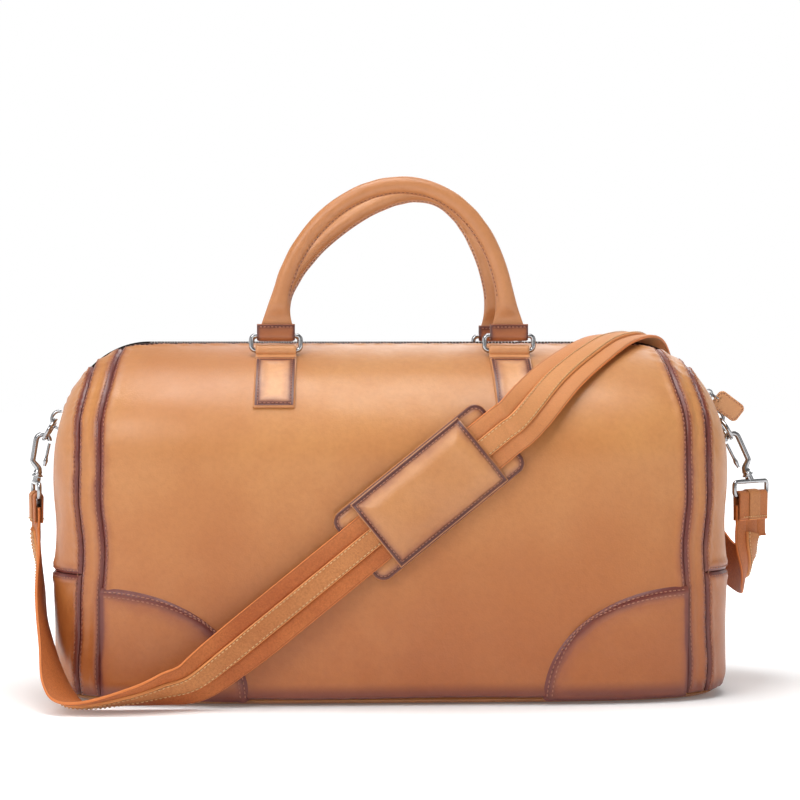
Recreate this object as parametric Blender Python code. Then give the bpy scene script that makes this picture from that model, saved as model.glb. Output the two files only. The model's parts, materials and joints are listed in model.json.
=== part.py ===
"""A leather weekender bag: a duffel body of sewn panels, two rolled handles on rectangular rings, a zip
along the top and a shoulder strap that is laid round the bag and clipped to both ends.

Units are metres with +Z up. X runs along the bag, the front faces -Y, and the origin is the middle of
the base.
"""

import math

import bmesh
import bpy
from mathutils import Vector

# Body
HALF_LENGTH = 0.251
HALF_DEPTH = 0.118
EDGE_R = 0.018  # rounding between the base and the walls
SHOULDER_Z = 0.176  # the walls are upright to here
SHOULDER_X, SHOULDER_RISE = 0.069, 0.085  # half axes of the ellipse over which the ends turn in
RIDGE_HALF = HALF_LENGTH - SHOULDER_X
POWER = 4.2  # squareness of the plan outline
WALL = 0.0022
GAP = 0.0003  # between neighbouring pieces
SEAM_GAP = 0.0008  # between panels cut at different levels
LINING_INSET = 0.0050  # it hangs loose inside the leather
SEAM_Z = 0.004  # the walls meet the base panel here
BAND_INNER_X, BAND_OUTER_X = 0.212, 0.2285
BAND_LEAN = 0.012  # the bands come in by this at the top
END_SEAM_Z = 0.093
WALL_ROWS = 16  # cells up a wall, and across its middle panel
SLOT_COLUMN = 6  # cells across an end from a band to the slot
PATCH_LENGTH, PATCH_HEIGHT = 0.106, 0.080
PATCH_T, PATCH_LIFT = 0.0012, 0.0008
LINING_T = 0.0008
LINING_RIM = 2.76  # the level at which the lining ends, under the zip
BOARD_HALF, BOARD_T, BOARD_CORNER = (0.216, 0.084), 0.002, 0.03
POCKET_HALF, POCKET_T = (0.110, 0.040), 0.0014
POCKET_CENTRE = Vector((0, 0.1065, 0.120))

# Zip
SLOT_Y = 0.0143
TAPE_Y = (0.0026, 0.0140)
CHAIN_HALF = 0.0023
TAPE_LIFT = (-0.0016, -0.0005)  # lower and upper face, measured from the shoulder's ellipse
CHAIN_LIFT = (-0.0014, 0.0009)
ZIP_END = math.radians(25.8)  # where the zip stops, as a turn on the shoulder's ellipse
SLIDER_AT = math.radians(31.6)
SLIDER_MIDDLE = math.radians(42.5)  # the middle of its travel
SLIDER_HALF, SLIDER_T, SLIDER_LIFT = (0.0065, 0.0042), 0.0018, 0.0022
BAIL_R, BAIL_LIFT, PULL_WIRE = 0.0034, 0.0036, 0.0006
PULL_PIN_LIFT = 0.0016  # from the bail's feet to the wire that hangs in it
PULL_RING_HALF = (0.0038, 0.0055)
PULL_LENGTH, PULL_WIDTH, PULL_T = 0.024, 0.015, 0.0016
PULL_HOLE_R, PULL_HOLE_IN = 0.0015, 0.0028  # the hole, and its distance from the tab's end
PULL_ASIDE = 0.0033  # the tab hangs beside the staple, not on it

# Handles
HANDLE_X, HANDLE_Y = 0.0863, 0.054
LOWER_BAR_Z, UPPER_BAR_Z = 0.2552, 0.2665
RING_HALF = 0.0182
RING_WIRE = 0.0018
GRIP_R = 0.0063
ARCH_BASE_Z, ARCH_HALF, ARCH_HEIGHT = 0.2708, 0.0855, 0.1072
ARCH_LEAN = {"front": 0.007, "rear": 0.024}  # the top of an arch stands to the right
ARCH_SKEW = {"front": 0.0, "rear": 0.6}  # how much more its left half leans than its right
TAB_WIDTH, TAB_T, TAB_BOTTOM_Z = 0.030, 0.0022, 0.214
TAB_CLEAR, TAB_ROLL = 0.0005, math.radians(235)  # the tab's roll round the bar
FOLD_WIDTH, FOLD_LEG, FOLD_T, FOLD_CLEAR = 0.028, 0.0085, 0.0018, 0.0004
TONGUE_T = 0.0010  # half the thickness of a grip's flat end
TONGUE_RISE, ROUND_RISE, FLARE_RISE = 0.0095, 0.0195, 0.034  # a grip is flat, round and narrow at these

# Shoulder strap
STRAP_WIDTH, STRAP_T = 0.038, 0.0026
CENTRE_WIDTH, CENTRE_T, CENTRE_LIFT = 0.014, 0.0010, 0.0012
RUN_SLOPE = math.radians(39)
PAD_CENTRE = Vector((0.023, -0.127, 0.154))
PAD_LENGTH, PAD_WIDTH, PAD_T = 0.137, 0.061, 0.0045
PAD_CORNER = 0.009
SLEEVE_LENGTH, SLEEVE_WIDTH, SLEEVE_T = 0.099, 0.058, 0.0016
STRAP_FOLD_T, STRAP_FOLD_LEG = 0.0016, 0.019

# End hardware
STAPLE_Z, STAPLE_R, STAPLE_WIRE = 0.203, 0.0065, 0.0013
OVAL_HALF_Y, OVAL_HALF_DROP, OVAL_WIRE = 0.0130, 0.0088, 0.0015
HOOK_WIRE, HOOK_HALF = 0.0021, 0.0052
HOOK_COLLAR, HOOK_COLLAR_T = 0.0042, 0.0035  # the swivel's radius and length
HOOK_NECK = 0.0105  # from the eye's bar to the foot of the hook
GATE_WIRE = 0.0011
EYE_HALF, EYE_RISE, EYE_WIRE = 0.0213, 0.0105, 0.00175
EYE_LEFT = Vector((-0.2675, 0.0, 0.150))
EYE_RIGHT = Vector((0.2770, 0.0, 0.150))

X, Y, Z = Vector((1, 0, 0)), Vector((0, 1, 0)), Vector((0, 0, 1))
SIDES = (("left", -1), ("right", 1))
FACES = (("front", -1), ("rear", 1))

LOOKS = {
    "tan_leather": ((0.55, 0.27, 0.12), 0.42, 0.0),
    "strap_leather": ((0.45, 0.17, 0.06), 0.55, 0.0),
    "strip_leather": ((0.50, 0.24, 0.10), 0.5, 0.0),
    "chrome": ((0.80, 0.80, 0.82), 0.12, 1.0),
    "zip_tape": ((0.16, 0.09, 0.06), 0.85, 0.0),
    "lining_cloth": ((0.12, 0.08, 0.06), 0.9, 0.0),
    "board": ((0.10, 0.07, 0.05), 0.8, 0.0),
}


def material(look):
    found = bpy.data.materials.get(look)
    if found:
        return found
    colour, roughness, metallic = LOOKS[look]
    made = bpy.data.materials.new(look)
    made.use_nodes = True
    shader = made.node_tree.nodes["Principled BSDF"]
    shader.inputs["Base Color"].default_value = (*colour, 1)
    shader.inputs["Roughness"].default_value = roughness
    shader.inputs["Metallic"].default_value = metallic
    return made


def solid(name, points, faces, look, pivot=(0, 0, 0)):
    """One object from world points and faces, with its origin at pivot."""
    pivot = Vector(pivot)
    shape = bmesh.new()
    verts = [shape.verts.new(Vector(p) - pivot) for p in points]
    for face in faces:
        shape.faces.new([verts[i] for i in face])
    unused = [v for v in verts if not v.link_faces]
    bmesh.ops.delete(shape, geom=unused, context="VERTS")
    bmesh.ops.recalc_face_normals(shape, faces=shape.faces)
    mesh = bpy.data.meshes.new(name)
    shape.to_mesh(mesh)
    shape.free()
    mesh.materials.append(material(look))
    mesh.shade_smooth()
    mesh.set_sharp_from_angle(angle=math.radians(35))
    made = bpy.data.objects.new(name, mesh)
    made.location = pivot
    bpy.context.collection.objects.link(made)
    return made


def loft(name, rings, look, closed=False, pivot=(0, 0, 0)):
    """A skin through rings of equal length. An open loft is capped, and a closed one joins its last ring to
    its first."""
    size = len(rings[0])
    points = [p for ring in rings for p in ring]
    faces = []
    for i in range(len(rings) if closed else len(rings) - 1):
        low, high = i * size, (i + 1) % len(rings) * size
        for j in range(size):
            k = (j + 1) % size
            faces.append((low + j, low + k, high + k, high + j))
    if not closed:
        last = (len(rings) - 1) * size
        faces += [tuple(range(size)), tuple(range(last, last + size))]
    return solid(name, points, faces, look, pivot)


def extrusion(name, outline, place, axis, half, look, pivot=(0, 0, 0)):
    """A flat outline of (u, v) points, put in space by place(u, v), extruded by half each way along axis."""
    rings = [[place(u, v) + axis * side * half for u, v in outline] for side in (-1, 1)]
    return loft(name, rings, look, pivot=pivot)


# ---- the body's skin ----


def level(h):
    """Half length, half depth and height of the plan outline. h runs 0 to 1 over the bottom edge, to 2 up
    the wall and to 3 over the shoulder."""
    if h < 1:
        turn = h * math.pi / 2
        inset = EDGE_R * (1 - math.sin(turn))
        return HALF_LENGTH - inset, HALF_DEPTH - inset, EDGE_R * (1 - math.cos(turn))
    if h < 2:
        return HALF_LENGTH, HALF_DEPTH, EDGE_R + (h - 1) * (SHOULDER_Z - EDGE_R)
    turn = (h - 2) * math.pi / 2
    rise = SHOULDER_RISE * math.sin(turn)
    return RIDGE_HALF + SHOULDER_X * math.cos(turn), HALF_DEPTH * math.cos(turn), SHOULDER_Z + rise


def level_at(z):
    if z < EDGE_R:
        return math.acos(1 - z / EDGE_R) * 2 / math.pi
    if z < SHOULDER_Z:
        return 1 + (z - EDGE_R) / (SHOULDER_Z - EDGE_R)
    return 2 + math.asin((z - SHOULDER_Z) / SHOULDER_RISE) * 2 / math.pi


def other_side(share):
    """The outline's second coordinate, as a share of its half size, where the first is share of its own."""
    return max(0.0, 1 - abs(share) ** POWER) ** (1 / POWER)


def angle_at_x(h, x, face):
    """The angle round the outline where the skin of the front (-1) or rear (1) has this x."""
    share = x / level(h)[0]
    return math.atan2(face * other_side(share), share)


def angle_at_y(h, y, side):
    share = y / level(h)[1]
    return math.atan2(share, side * other_side(share))


def spot(h, angle):
    a, b, z = level(h)
    c, s = math.cos(angle), math.sin(angle)
    reach = (abs(c) ** POWER + abs(s) ** POWER) ** (-1 / POWER)
    return Vector((a * c * reach, b * s * reach, z))


def skin(h, angle, lift=0.0):
    """The point of the body's skin at h and angle, moved out along its normal by lift."""
    step = 1e-4
    along = spot(h, angle + step) - spot(h, angle - step)
    up = spot(h + step, angle) - spot(h - step, angle)
    return spot(h, angle) + along.cross(up).normalized() * lift


def sheet(name, grid, look, thickness=WALL, lift=0.0, present=None):
    """A panel over a grid of (h, angle), with its outer face lift above the skin. It has only the cells for
    which present(i, j) is true."""
    rows, columns = len(grid) - 1, len(grid[0]) - 1
    points = [skin(h, angle, out) for out in (lift, lift - thickness) for row in grid for h, angle in row]
    inside = len(points) // 2

    def has(i, j):
        return 0 <= i < rows and 0 <= j < columns and (present is None or present(i, j))

    def at(i, j):
        return i * (columns + 1) + j

    faces = []
    for i in range(rows):
        for j in range(columns):
            if not has(i, j):
                continue
            corners = [at(i, j), at(i, j + 1), at(i + 1, j + 1), at(i + 1, j)]
            faces += [tuple(corners), tuple(inside + k for k in reversed(corners))]
            beyond = ((i - 1, j), (i, j + 1), (i + 1, j), (i, j - 1))
            for k, cell in enumerate(beyond):
                if not has(*cell):
                    p, q = corners[k], corners[(k + 1) % 4]
                    faces.append((q, p, p + inside, q + inside))
    return solid(name, points, faces, look)


def steps(count, low=0.0, high=1.0):
    return [low + (high - low) * i / count for i in range(count + 1)]


def crowded_up(count, low=0.0, high=1.0):
    """Steps that get smaller towards high."""
    return [low + (high - low) * (1 - (1 - t) ** 1.6) for t in steps(count)]


def seam_x(h, at_wall):
    """A band's seam: at_wall up to the shoulder, then leaning in."""
    z = level(h)[2]
    return at_wall - BAND_LEAN * max(0.0, (z - SHOULDER_Z) / SHOULDER_RISE) ** 3


def top_level(x_at):
    """The level at which the line x_at(h) on the skin reaches the edge of the zip's slot."""
    low, high = 2.0, 3.0
    for _ in range(40):
        h = (low + high) / 2
        a, b, _z = level(h)
        if b * other_side(min(1.0, abs(x_at(h)) / a)) > SLOT_Y:
            low = h
        else:
            high = h
    return low


def wall_grid(x_of, columns, rows, face, low_z):
    """A grid from low_z up to the zip's slot. x_of(c, h) is column c's x at level h."""
    start = level_at(low_z)
    tops = [top_level(lambda h, c=c: x_of(c, h)) for c in columns]
    grid = []
    for r in crowded_up(rows):
        row = []
        for c, top in zip(columns, tops, strict=True):
            h = start + (top - start) * r
            row.append((h, angle_at_x(h, x_of(c, h), face)))
        grid.append(row)
    return grid


def walls():
    low = SEAM_Z + SEAM_GAP / 2
    for face_name, face in FACES:
        def middle_x(c, h):
            return c * (seam_x(h, BAND_INNER_X) - GAP / 2)

        middle = wall_grid(middle_x, steps(WALL_ROWS, -1, 1), WALL_ROWS, face, low)
        sheet(f"{face_name}_panel", middle, "tan_leather")
        for side_name, side in SIDES:
            def band_x(c, h, side=side):
                inner, outer = seam_x(h, BAND_INNER_X) + GAP / 2, seam_x(h, BAND_OUTER_X) - GAP / 2
                return side * (inner + (outer - inner) * c)

            band = wall_grid(band_x, steps(2), WALL_ROWS, face, low)
            sheet(f"{face_name}_band_{side_name}", band, "tan_leather")


def end_row(h, side):
    """Angles across an end at level h: from the front band to the slot, across it, and to the rear band."""
    edge = abs(angle_at_x(h, seam_x(h, BAND_OUTER_X) + SEAM_GAP, 1))
    slot = abs(angle_at_y(h, SLOT_Y, 1))
    reach = [slot + (edge - slot) * (1 - (1 - t) ** 1.6) for t in steps(SLOT_COLUMN)]
    angles = [-a for a in reversed(reach)] + [0.0] + reach
    return [(h, angle if side > 0 else math.pi - angle) for angle in angles]


def ends():
    """The end panels, split at the top round the zip, and the lower pieces below the cross seam."""
    slot_columns = (SLOT_COLUMN, SLOT_COLUMN + 1)
    slot_h = level_at(SHOULDER_Z + SHOULDER_RISE * math.sin(ZIP_END) - GAP)
    top = top_level(lambda h: seam_x(h, BAND_OUTER_X)) - 0.03
    lower = steps(5, level_at(SEAM_Z + SEAM_GAP / 2), level_at(END_SEAM_Z - GAP / 2))
    plain = steps(4, level_at(END_SEAM_Z + GAP / 2), slot_h)
    split = crowded_up(7, slot_h, top)[1:]
    for side_name, side in SIDES:
        sheet(f"end_lower_{side_name}", [end_row(h, side) for h in lower], "tan_leather")
        grid = [end_row(h, side) for h in plain + split]
        closed_rows = len(plain) - 1
        sheet(
            f"end_panel_{side_name}", grid, "tan_leather",
            present=lambda i, j: i < closed_rows or j not in slot_columns,
        )


def corner_patches():
    """Quarter-oval leather corners over the foot of the front and rear panels."""
    for face_name, face in FACES:
        for side_name, side in SIDES:
            grid = []
            for v in [t**1.8 for t in steps(8)]:
                row = []
                for u in steps(5):
                    z = SEAM_Z + SEAM_GAP / 2 + PATCH_HEIGHT * v * math.sqrt(1 - u * u / 2)
                    x = BAND_INNER_X - GAP - PATCH_LENGTH * u * math.sqrt(1 - v * v / 2)
                    row.append((level_at(z), angle_at_x(level_at(z), side * x, face)))
                grid.append(row)
            name = f"{face_name}_corner_{side_name}"
            sheet(name, grid, "tan_leather", PATCH_T, PATCH_LIFT + PATCH_T)


def cup(name, levels, lift, thickness, look, count):
    """A bowl that follows the skin, lift above it, from its flat bottom at the first level to its rim at the
    last."""
    even = [2 * math.pi * (j + 0.5) / count for j in range(count)]
    angles = [t + 0.13 * math.sin(4 * t) for t in even]  # closer together round the corners
    outer = [[skin(h, angle, lift) for angle in angles] for h in reversed(levels)]
    inner = [[skin(h, angle, lift - thickness) for angle in angles] for h in levels]
    rings = outer + inner
    points = [p for ring in rings for p in ring]
    last = len(rings) - 1
    bottom = len(outer) - 1
    faces = [tuple(range(bottom * count, (bottom + 1) * count))]
    faces.append(tuple(range((bottom + 1) * count, (bottom + 2) * count)))
    for i in range(len(rings)):
        if i == bottom:
            continue
        j = 0 if i == last else i + 1
        for k in range(count):
            m = (k + 1) % count
            faces.append((i * count + k, i * count + m, j * count + m, j * count + k))
    return solid(name, points, faces, look)


def slab(name, place, half_u, half_v, corner, half_t, look, pivot=(0, 0, 0)):
    """A flat plate with rounded corners. place(u, v, w) puts it in space, with w through its thickness."""
    outline = rounded_rectangle(half_u, half_v, corner, 4)
    rings = [[place(u, v, w) for u, v in outline] for w in (-half_t, half_t)]
    return loft(name, rings, look, pivot=pivot)


def inside_of_bag():
    """The base panel, the lining, a stiffening board on its floor and a pocket on its rear."""
    cup("base_panel", steps(3, 0.0, level_at(SEAM_Z - SEAM_GAP / 2)), 0.0, WALL, "tan_leather", 48)
    lining_levels = steps(3) + steps(4, 2.0, LINING_RIM)
    cup("lining", lining_levels, -WALL - LINING_INSET, LINING_T, "lining_cloth", 36)
    board_z = WALL + GAP + 0.0021  # it rests between the base panel and the lining
    slab(
        "base_board", lambda u, v, w: Vector((u, v, board_z + w)), *BOARD_HALF, BOARD_CORNER, BOARD_T / 2,
        "board",
    )
    slab(
        "inner_pocket", lambda u, v, w: POCKET_CENTRE + X * u + Z * v + Y * w, *POCKET_HALF, 0.008,
        POCKET_T / 2, "lining_cloth",
    )


# ---- the zip ----


def arc_normal(turn, side):
    """Outward direction of the shoulder's ellipse at one end."""
    return Vector((side * math.cos(turn) / SHOULDER_X, 0, math.sin(turn) / SHOULDER_RISE)).normalized()


def arc_point(turn, side, lift=0.0):
    """A point over the shoulder's ellipse at one end, in the bag's middle plane."""
    x = side * (RIDGE_HALF + SHOULDER_X * math.cos(turn))
    z = SHOULDER_Z + SHOULDER_RISE * math.sin(turn)
    return Vector((x, 0, z)) + arc_normal(turn, side) * lift


def slider_centre():
    """The centre of the circle that follows the ellipse where the slider travels."""
    wide, tall = SHOULDER_X, SHOULDER_RISE
    c, s = math.cos(SLIDER_MIDDLE), math.sin(SLIDER_MIDDLE)
    radius = (wide**2 * s * s + tall**2 * c * c) ** 1.5 / (wide * tall)
    return arc_point(SLIDER_MIDDLE, 1, -radius)


def zip_line(low, high, lifts):
    """Rings of a strip from y = low to y = high along the whole zip. lifts has its lower and upper face."""
    down, up = lifts
    rise = steps(7, ZIP_END, math.pi / 2)
    stations = [(a, -1) for a in rise] + [(a, 1) for a in reversed(rise)]
    return [
        [arc_point(a, side, lift) + Y * y for y, lift in ((low, down), (high, down), (high, up), (low, up))]
        for a, side in stations
    ]


def zip_parts():
    """Two tapes, the chain between them, and the slider with its bail, which turn about one centre."""
    for face_name, face in FACES:
        near, far = (face * y for y in TAPE_Y)
        loft(f"zip_tape_{face_name}", zip_line(near, far, TAPE_LIFT), "zip_tape")
    loft("zip_chain", zip_line(-CHAIN_HALF, CHAIN_HALF, CHAIN_LIFT), "chrome")
    centre = slider_centre()
    hub = arc_point(SLIDER_AT, 1)
    out = (hub - centre).normalized()
    along = out.cross(Y)
    slab(
        "zip_slider", lambda u, v, w: hub + along * u + Y * v + out * (SLIDER_LIFT + w),
        *SLIDER_HALF, 0.0015, SLIDER_T / 2, "chrome", centre,
    )
    bail = hub + out * BAIL_LIFT
    arch = [bail + (along * math.cos(t) + out * math.sin(t)) * BAIL_R for t in steps(8, 0, math.pi)]
    tube("zip_bail", arch, Y, PULL_WIRE, 6, "chrome", pivot=centre)
    zip_pull(bail + out * PULL_PIN_LIFT)


def zip_pull(pin):
    """The ring through the slider's bail, and the leather tab that hangs from it edge-on to the bag."""
    drop = Vector((0.80, 0, -0.60))
    rise = drop.cross(Y)
    reach, ring_half = PULL_RING_HALF
    loop = [pin + drop * (u + reach) + Y * v for u, v in rounded_rectangle(reach, ring_half, 0.0012, 3)]
    tube("zip_pull_ring", loop, rise, PULL_WIRE, 6, "chrome", closed=True, pivot=pin)
    hole = pin + drop * 2 * reach - Y * PULL_ASIDE
    outline = rounded_rectangle(PULL_LENGTH / 2, PULL_WIDTH / 2, 0.004, 5)
    outline = [(u + PULL_LENGTH / 2 - PULL_HOLE_IN, v) for u, v in outline]
    turns = [math.atan2(v, u) for u, v in outline]
    bore = [(PULL_HOLE_R * math.cos(t), PULL_HOLE_R * math.sin(t)) for t in turns]
    rings = [
        [hole + drop * u + rise * v + Y * side * PULL_T / 2 for u, v in edge]
        for edge, side in ((outline, 1), (bore, 1), (bore, -1), (outline, -1))
    ]
    loft("zip_pull_tab", rings, "tan_leather", closed=True, pivot=pin)


# ---- wires, strips and folds ----


def rounded_rectangle(half_u, half_v, corner, count):
    """Points (u, v) anticlockwise round a rectangle, with count steps in each corner."""
    points = []
    for quarter, (su, sv) in enumerate(((1, 1), (-1, 1), (-1, -1), (1, -1))):
        for turn in steps(count, quarter * math.pi / 2, (quarter + 1) * math.pi / 2):
            u = su * (half_u - corner) + corner * math.cos(turn)
            v = sv * (half_v - corner) + corner * math.sin(turn)
            points.append((u, v))
    return points


def tube(name, path, normal, radius, sides, look, closed=False, pivot=(0, 0, 0)):
    """A wire along a path that lies in the plane with this normal. radius is one number, or one for each
    point."""
    count = len(path)
    rings = []
    for i, point in enumerate(path):
        before = path[i - 1] if i or closed else path[0]
        after = path[(i + 1) % count] if i + 1 < count or closed else path[-1]
        across = (after - before).cross(normal).normalized()
        size = radius[i] if isinstance(radius, (list, tuple)) else radius
        turns = [2 * math.pi * (k + 0.5) / sides for k in range(sides)]
        rings.append([point + (across * math.cos(t) + normal * math.sin(t)) * size for t in turns])
    return loft(name, rings, look, closed, pivot)


def fold_outline(inner, thickness, leg, pinch):
    """A strip folded round a bar at (0, 0): an open U with its legs along +v, half a gap of pinch apart."""
    outer = inner + thickness
    bend = steps(8, math.pi, 2 * math.pi)
    outside = [(outer * math.cos(t), outer * math.sin(t)) for t in bend]
    inside = [(inner * math.cos(t), inner * math.sin(t)) for t in reversed(bend)]
    legs_out = [(pinch + thickness, 3 * inner), (pinch + thickness, leg)]
    legs_in = [(pinch, leg), (pinch, 3 * inner)]
    right = outside + legs_out + legs_in + inside
    left = [(-pinch, 3 * inner), (-pinch, leg), (-pinch - thickness, leg), (-pinch - thickness, 3 * inner)]
    return right + left


def ribbon_outline(path, thickness):
    """The outline of a strip of this thickness whose inner face is the path, given as (u, v) points."""
    outer = []
    for i, (u, v) in enumerate(path):
        before, after = path[max(i - 1, 0)], path[min(i + 1, len(path) - 1)]
        du, dv = after[0] - before[0], after[1] - before[1]
        size = math.hypot(du, dv)
        outer.append((u - dv / size * thickness, v + du / size * thickness))
    return path + outer[::-1]


# ---- handles ----


def handle_tab(name, side, face):
    """A leather tab that lies on the shoulder, is sewn to it and rolls round the lower bar of a ring."""
    lie = []
    for z in steps(6, TAB_BOTTOM_Z, SHOULDER_Z + SHOULDER_RISE * 0.9):
        h = level_at(z)
        lifted = skin(h, angle_at_x(h, side * HANDLE_X, -1), GAP)
        lie.append((-lifted.y, lifted.z))
    inner = RING_WIRE + TAB_CLEAR
    start = math.radians(-40)  # where the roll leaves the shoulder
    roll = [
        (HANDLE_Y + inner * math.cos(t), LOWER_BAR_Z + inner * math.sin(t))
        for t in steps(10, start, start + TAB_ROLL)
    ]
    outline = ribbon_outline([p for p in lie if p[0] > HANDLE_Y + 0.008] + roll, -TAB_T)
    extrusion(
        name, outline, lambda u, v: Vector((side * HANDLE_X, face * u, v)), X, TAB_WIDTH / 2, "tan_leather"
    )


def handle_ring(name, side, face):
    """A rectangular wire ring that turns on its lower bar."""
    middle = Vector((side * HANDLE_X, face * HANDLE_Y, (LOWER_BAR_Z + UPPER_BAR_Z) / 2))
    half_rise = (UPPER_BAR_Z - LOWER_BAR_Z) / 2
    loop = [middle + X * u + Z * v for u, v in rounded_rectangle(RING_HALF, half_rise, 0.003, 3)]
    pivot = (0, face * HANDLE_Y, LOWER_BAR_Z)
    tube(name, loop, Y, RING_WIRE, 8, "chrome", closed=True, pivot=pivot)


def handle_end(name, side, face):
    """The folded leather end that holds the upper bar of a ring, sewn over the grip's flat tongue."""
    outline = fold_outline(RING_WIRE + FOLD_CLEAR, FOLD_T, FOLD_LEG, TONGUE_T + FOLD_CLEAR)
    bar = Vector((side * HANDLE_X, face * HANDLE_Y, UPPER_BAR_Z))
    pivot = (0, face * HANDLE_Y, UPPER_BAR_Z)
    extrusion(name, outline, lambda u, v: bar + Y * u + Z * v, X, FOLD_WIDTH / 2, "tan_leather", pivot)


def grip(face_name, face):
    """A rolled grip on an elliptical arch. Its ends flatten into tongues."""
    pivot = Vector((0, face * HANDLE_Y, UPPER_BAR_Z))
    slant, skew = ARCH_LEAN[face_name], ARCH_SKEW[face_name]
    rings = []
    for t in steps(36, 0, math.pi):
        rise = ARCH_HEIGHT * math.sin(t)
        lean = slant * math.sin(t) ** 2 * (1 - skew * math.cos(t))
        centre = Vector((ARCH_HALF * math.cos(t) + lean, face * HANDLE_Y, ARCH_BASE_Z + rise))
        slope = slant * (math.sin(2 * t) * (1 - skew * math.cos(t)) + skew * math.sin(t) ** 3)
        along = Vector((slope - ARCH_HALF * math.sin(t), 0, ARCH_HEIGHT * math.cos(t))).normalized()
        across = along.cross(Y)
        flare = max(0.0, 1 - rise / FLARE_RISE)
        full = min(1.0, max(0.0, (rise - TONGUE_RISE) / (ROUND_RISE - TONGUE_RISE)))
        wide = GRIP_R + (FOLD_WIDTH / 2 - 0.001 - GRIP_R) * flare**2
        thick = TONGUE_T + (GRIP_R - TONGUE_T) * full
        turns = [2 * math.pi * (k + 0.5) / 10 for k in range(10)]
        rings.append([centre + across * wide * math.cos(a) + Y * thick * math.sin(a) for a in turns])
    loft(f"handle_grip_{face_name}", rings, "tan_leather", pivot=pivot)


def handles():
    """Two handles, each on two rings that are held by sewn tabs."""
    for face_name, face in FACES:
        for side_name, side in SIDES:
            place = f"{face_name}_{side_name}"
            handle_tab(f"handle_tab_{place}", side, face)
            handle_ring(f"handle_ring_{place}", side, face)
            handle_end(f"handle_end_{place}", side, face)
        grip(face_name, face)


# ---- shoulder strap ----


def run_axes():
    """Along the strap's straight front run, across it, and out of the bag."""
    rise = math.sin(RUN_SLOPE)
    along = Vector((math.cos(RUN_SLOPE), 0.04 * rise, rise)).normalized()
    across = Vector((-math.sin(RUN_SLOPE), 0, math.cos(RUN_SLOPE)))
    out = along.cross(across).normalized()
    return along, out.cross(along), out


def curve_through(stations, count):
    """Points and facing directions on a smooth curve through (point, facing direction) stations."""
    found = []
    for i in range(len(stations) - 1):
        ends = [stations[min(max(i + k, 0), len(stations) - 1)] for k in (-1, 0, 1, 2)]
        for t in steps(count)[: count + (i == len(stations) - 2)]:
            weights = (
                (-t + 2 * t**2 - t**3) / 2,
                (2 - 5 * t**2 + 3 * t**3) / 2,
                (t + 4 * t**2 - 3 * t**3) / 2,
                (t**3 - t**2) / 2,
            )
            found.append(tuple(
                sum((w * end[k] for w, end in zip(weights, ends, strict=True)), Vector()) for k in (0, 1)
            ))
    return found


def strap_rings(curve, shares, low, high):
    """Rings of a strip, points at these shares of the strap's half width, low to high above the curve."""
    rings = []
    for i, (point, facing) in enumerate(curve):
        along = (curve[min(i + 1, len(curve) - 1)][0] - curve[max(i - 1, 0)][0]).normalized()
        out = (facing - along * facing.dot(along)).normalized()
        across = out.cross(along)
        corners = [(share, low) for share in shares]
        corners += [(share, high) for share in reversed(shares)]
        rings.append([point + across * share * STRAP_WIDTH / 2 + out * rise for share, rise in corners])
    return rings


def on_skin(x, z, lift, face):
    """A point that stands lift off the skin of the front or rear, and the skin's normal there."""
    h = level_at(z)
    angle = angle_at_x(h, x, face)
    point = skin(h, angle, lift)
    return point, (point - skin(h, angle)).normalized()


def strap_stations():
    """Points of the strap and the way its outer face looks there. It goes from the fold in the left eye down
    the end, turns over flat at the lower front corner, then goes up the front, over the top, down the rear
    and round the right end to the other eye."""
    along, _across, out = run_axes()
    left_face, right_face = Vector((-0.98, -0.20, 0)), Vector((0.707, -0.707, 0))
    left = [
        (EYE_LEFT - Z * 0.0125, left_face),
        (EYE_LEFT - Z * 0.0290, left_face),
        (EYE_LEFT - Z * 0.0360, left_face),
        (Vector((-0.2620, -0.024, 0.094)), Vector((-0.98, 0.05, 0))),
        (Vector((-0.2580, -0.062, 0.066)), Vector((-0.95, 0.20, -0.05))),
        (Vector((-0.2480, -0.101, 0.034)), Vector((-0.90, 0.20, -0.35))),
        (Vector((-0.2375, -0.130, 0.0115)), Vector((-0.60, 0.15, -0.78))),
        (Vector((-0.2230, -0.142, 0.0062)), Vector((-0.10, -0.13, -0.98))),
        (Vector((-0.1900, -0.1435, 0.0110)), Vector((0, -0.40, -0.92))),
        (Vector((-0.1660, -0.1400, 0.0162)), Vector((0, -0.67, -0.74))),
        (Vector((-0.1450, -0.1365, 0.0215)), Vector((0, -0.85, -0.53))),
        (Vector((-0.1210, -0.1325, 0.0382)), Vector((0, -0.966, -0.26))),
    ]
    run = [(PAD_CENTRE + along * s, out) for s in (-0.155, -0.125, -0.060, 0.0, 0.045, 0.070, 0.084)]
    over = [
        on_skin(0.117, 0.2300, 0.0065, -1),
        on_skin(0.146, 0.2505, 0.0040, -1),
        on_skin(0.170, 0.2600, 0.0045, -1),
        on_skin(0.193, 0.2575, 0.0070, 1),
        on_skin(0.208, 0.2380, 0.0060, 1),
        on_skin(0.222, 0.2050, 0.0065, 1),
        on_skin(0.233, 0.1650, 0.0100, 1),
    ]
    right = [
        (Vector((0.248, 0.093, 0.123)), Vector((0.74, 0.67, 0))),
        (Vector((0.266, 0.080, 0.095)), Vector((0.92, 0.40, 0))),
        (Vector((0.279, 0.060, 0.083)), Vector((1, 0.10, 0))),
        (Vector((0.280, 0.024, 0.091)), Vector((0.93, -0.18, -0.31))),
        (EYE_RIGHT - Z * 0.0420, right_face),
        (EYE_RIGHT - Z * 0.0270, right_face),
        (EYE_RIGHT - Z * 0.0125, right_face),
    ]
    return left + run + over + right


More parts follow.
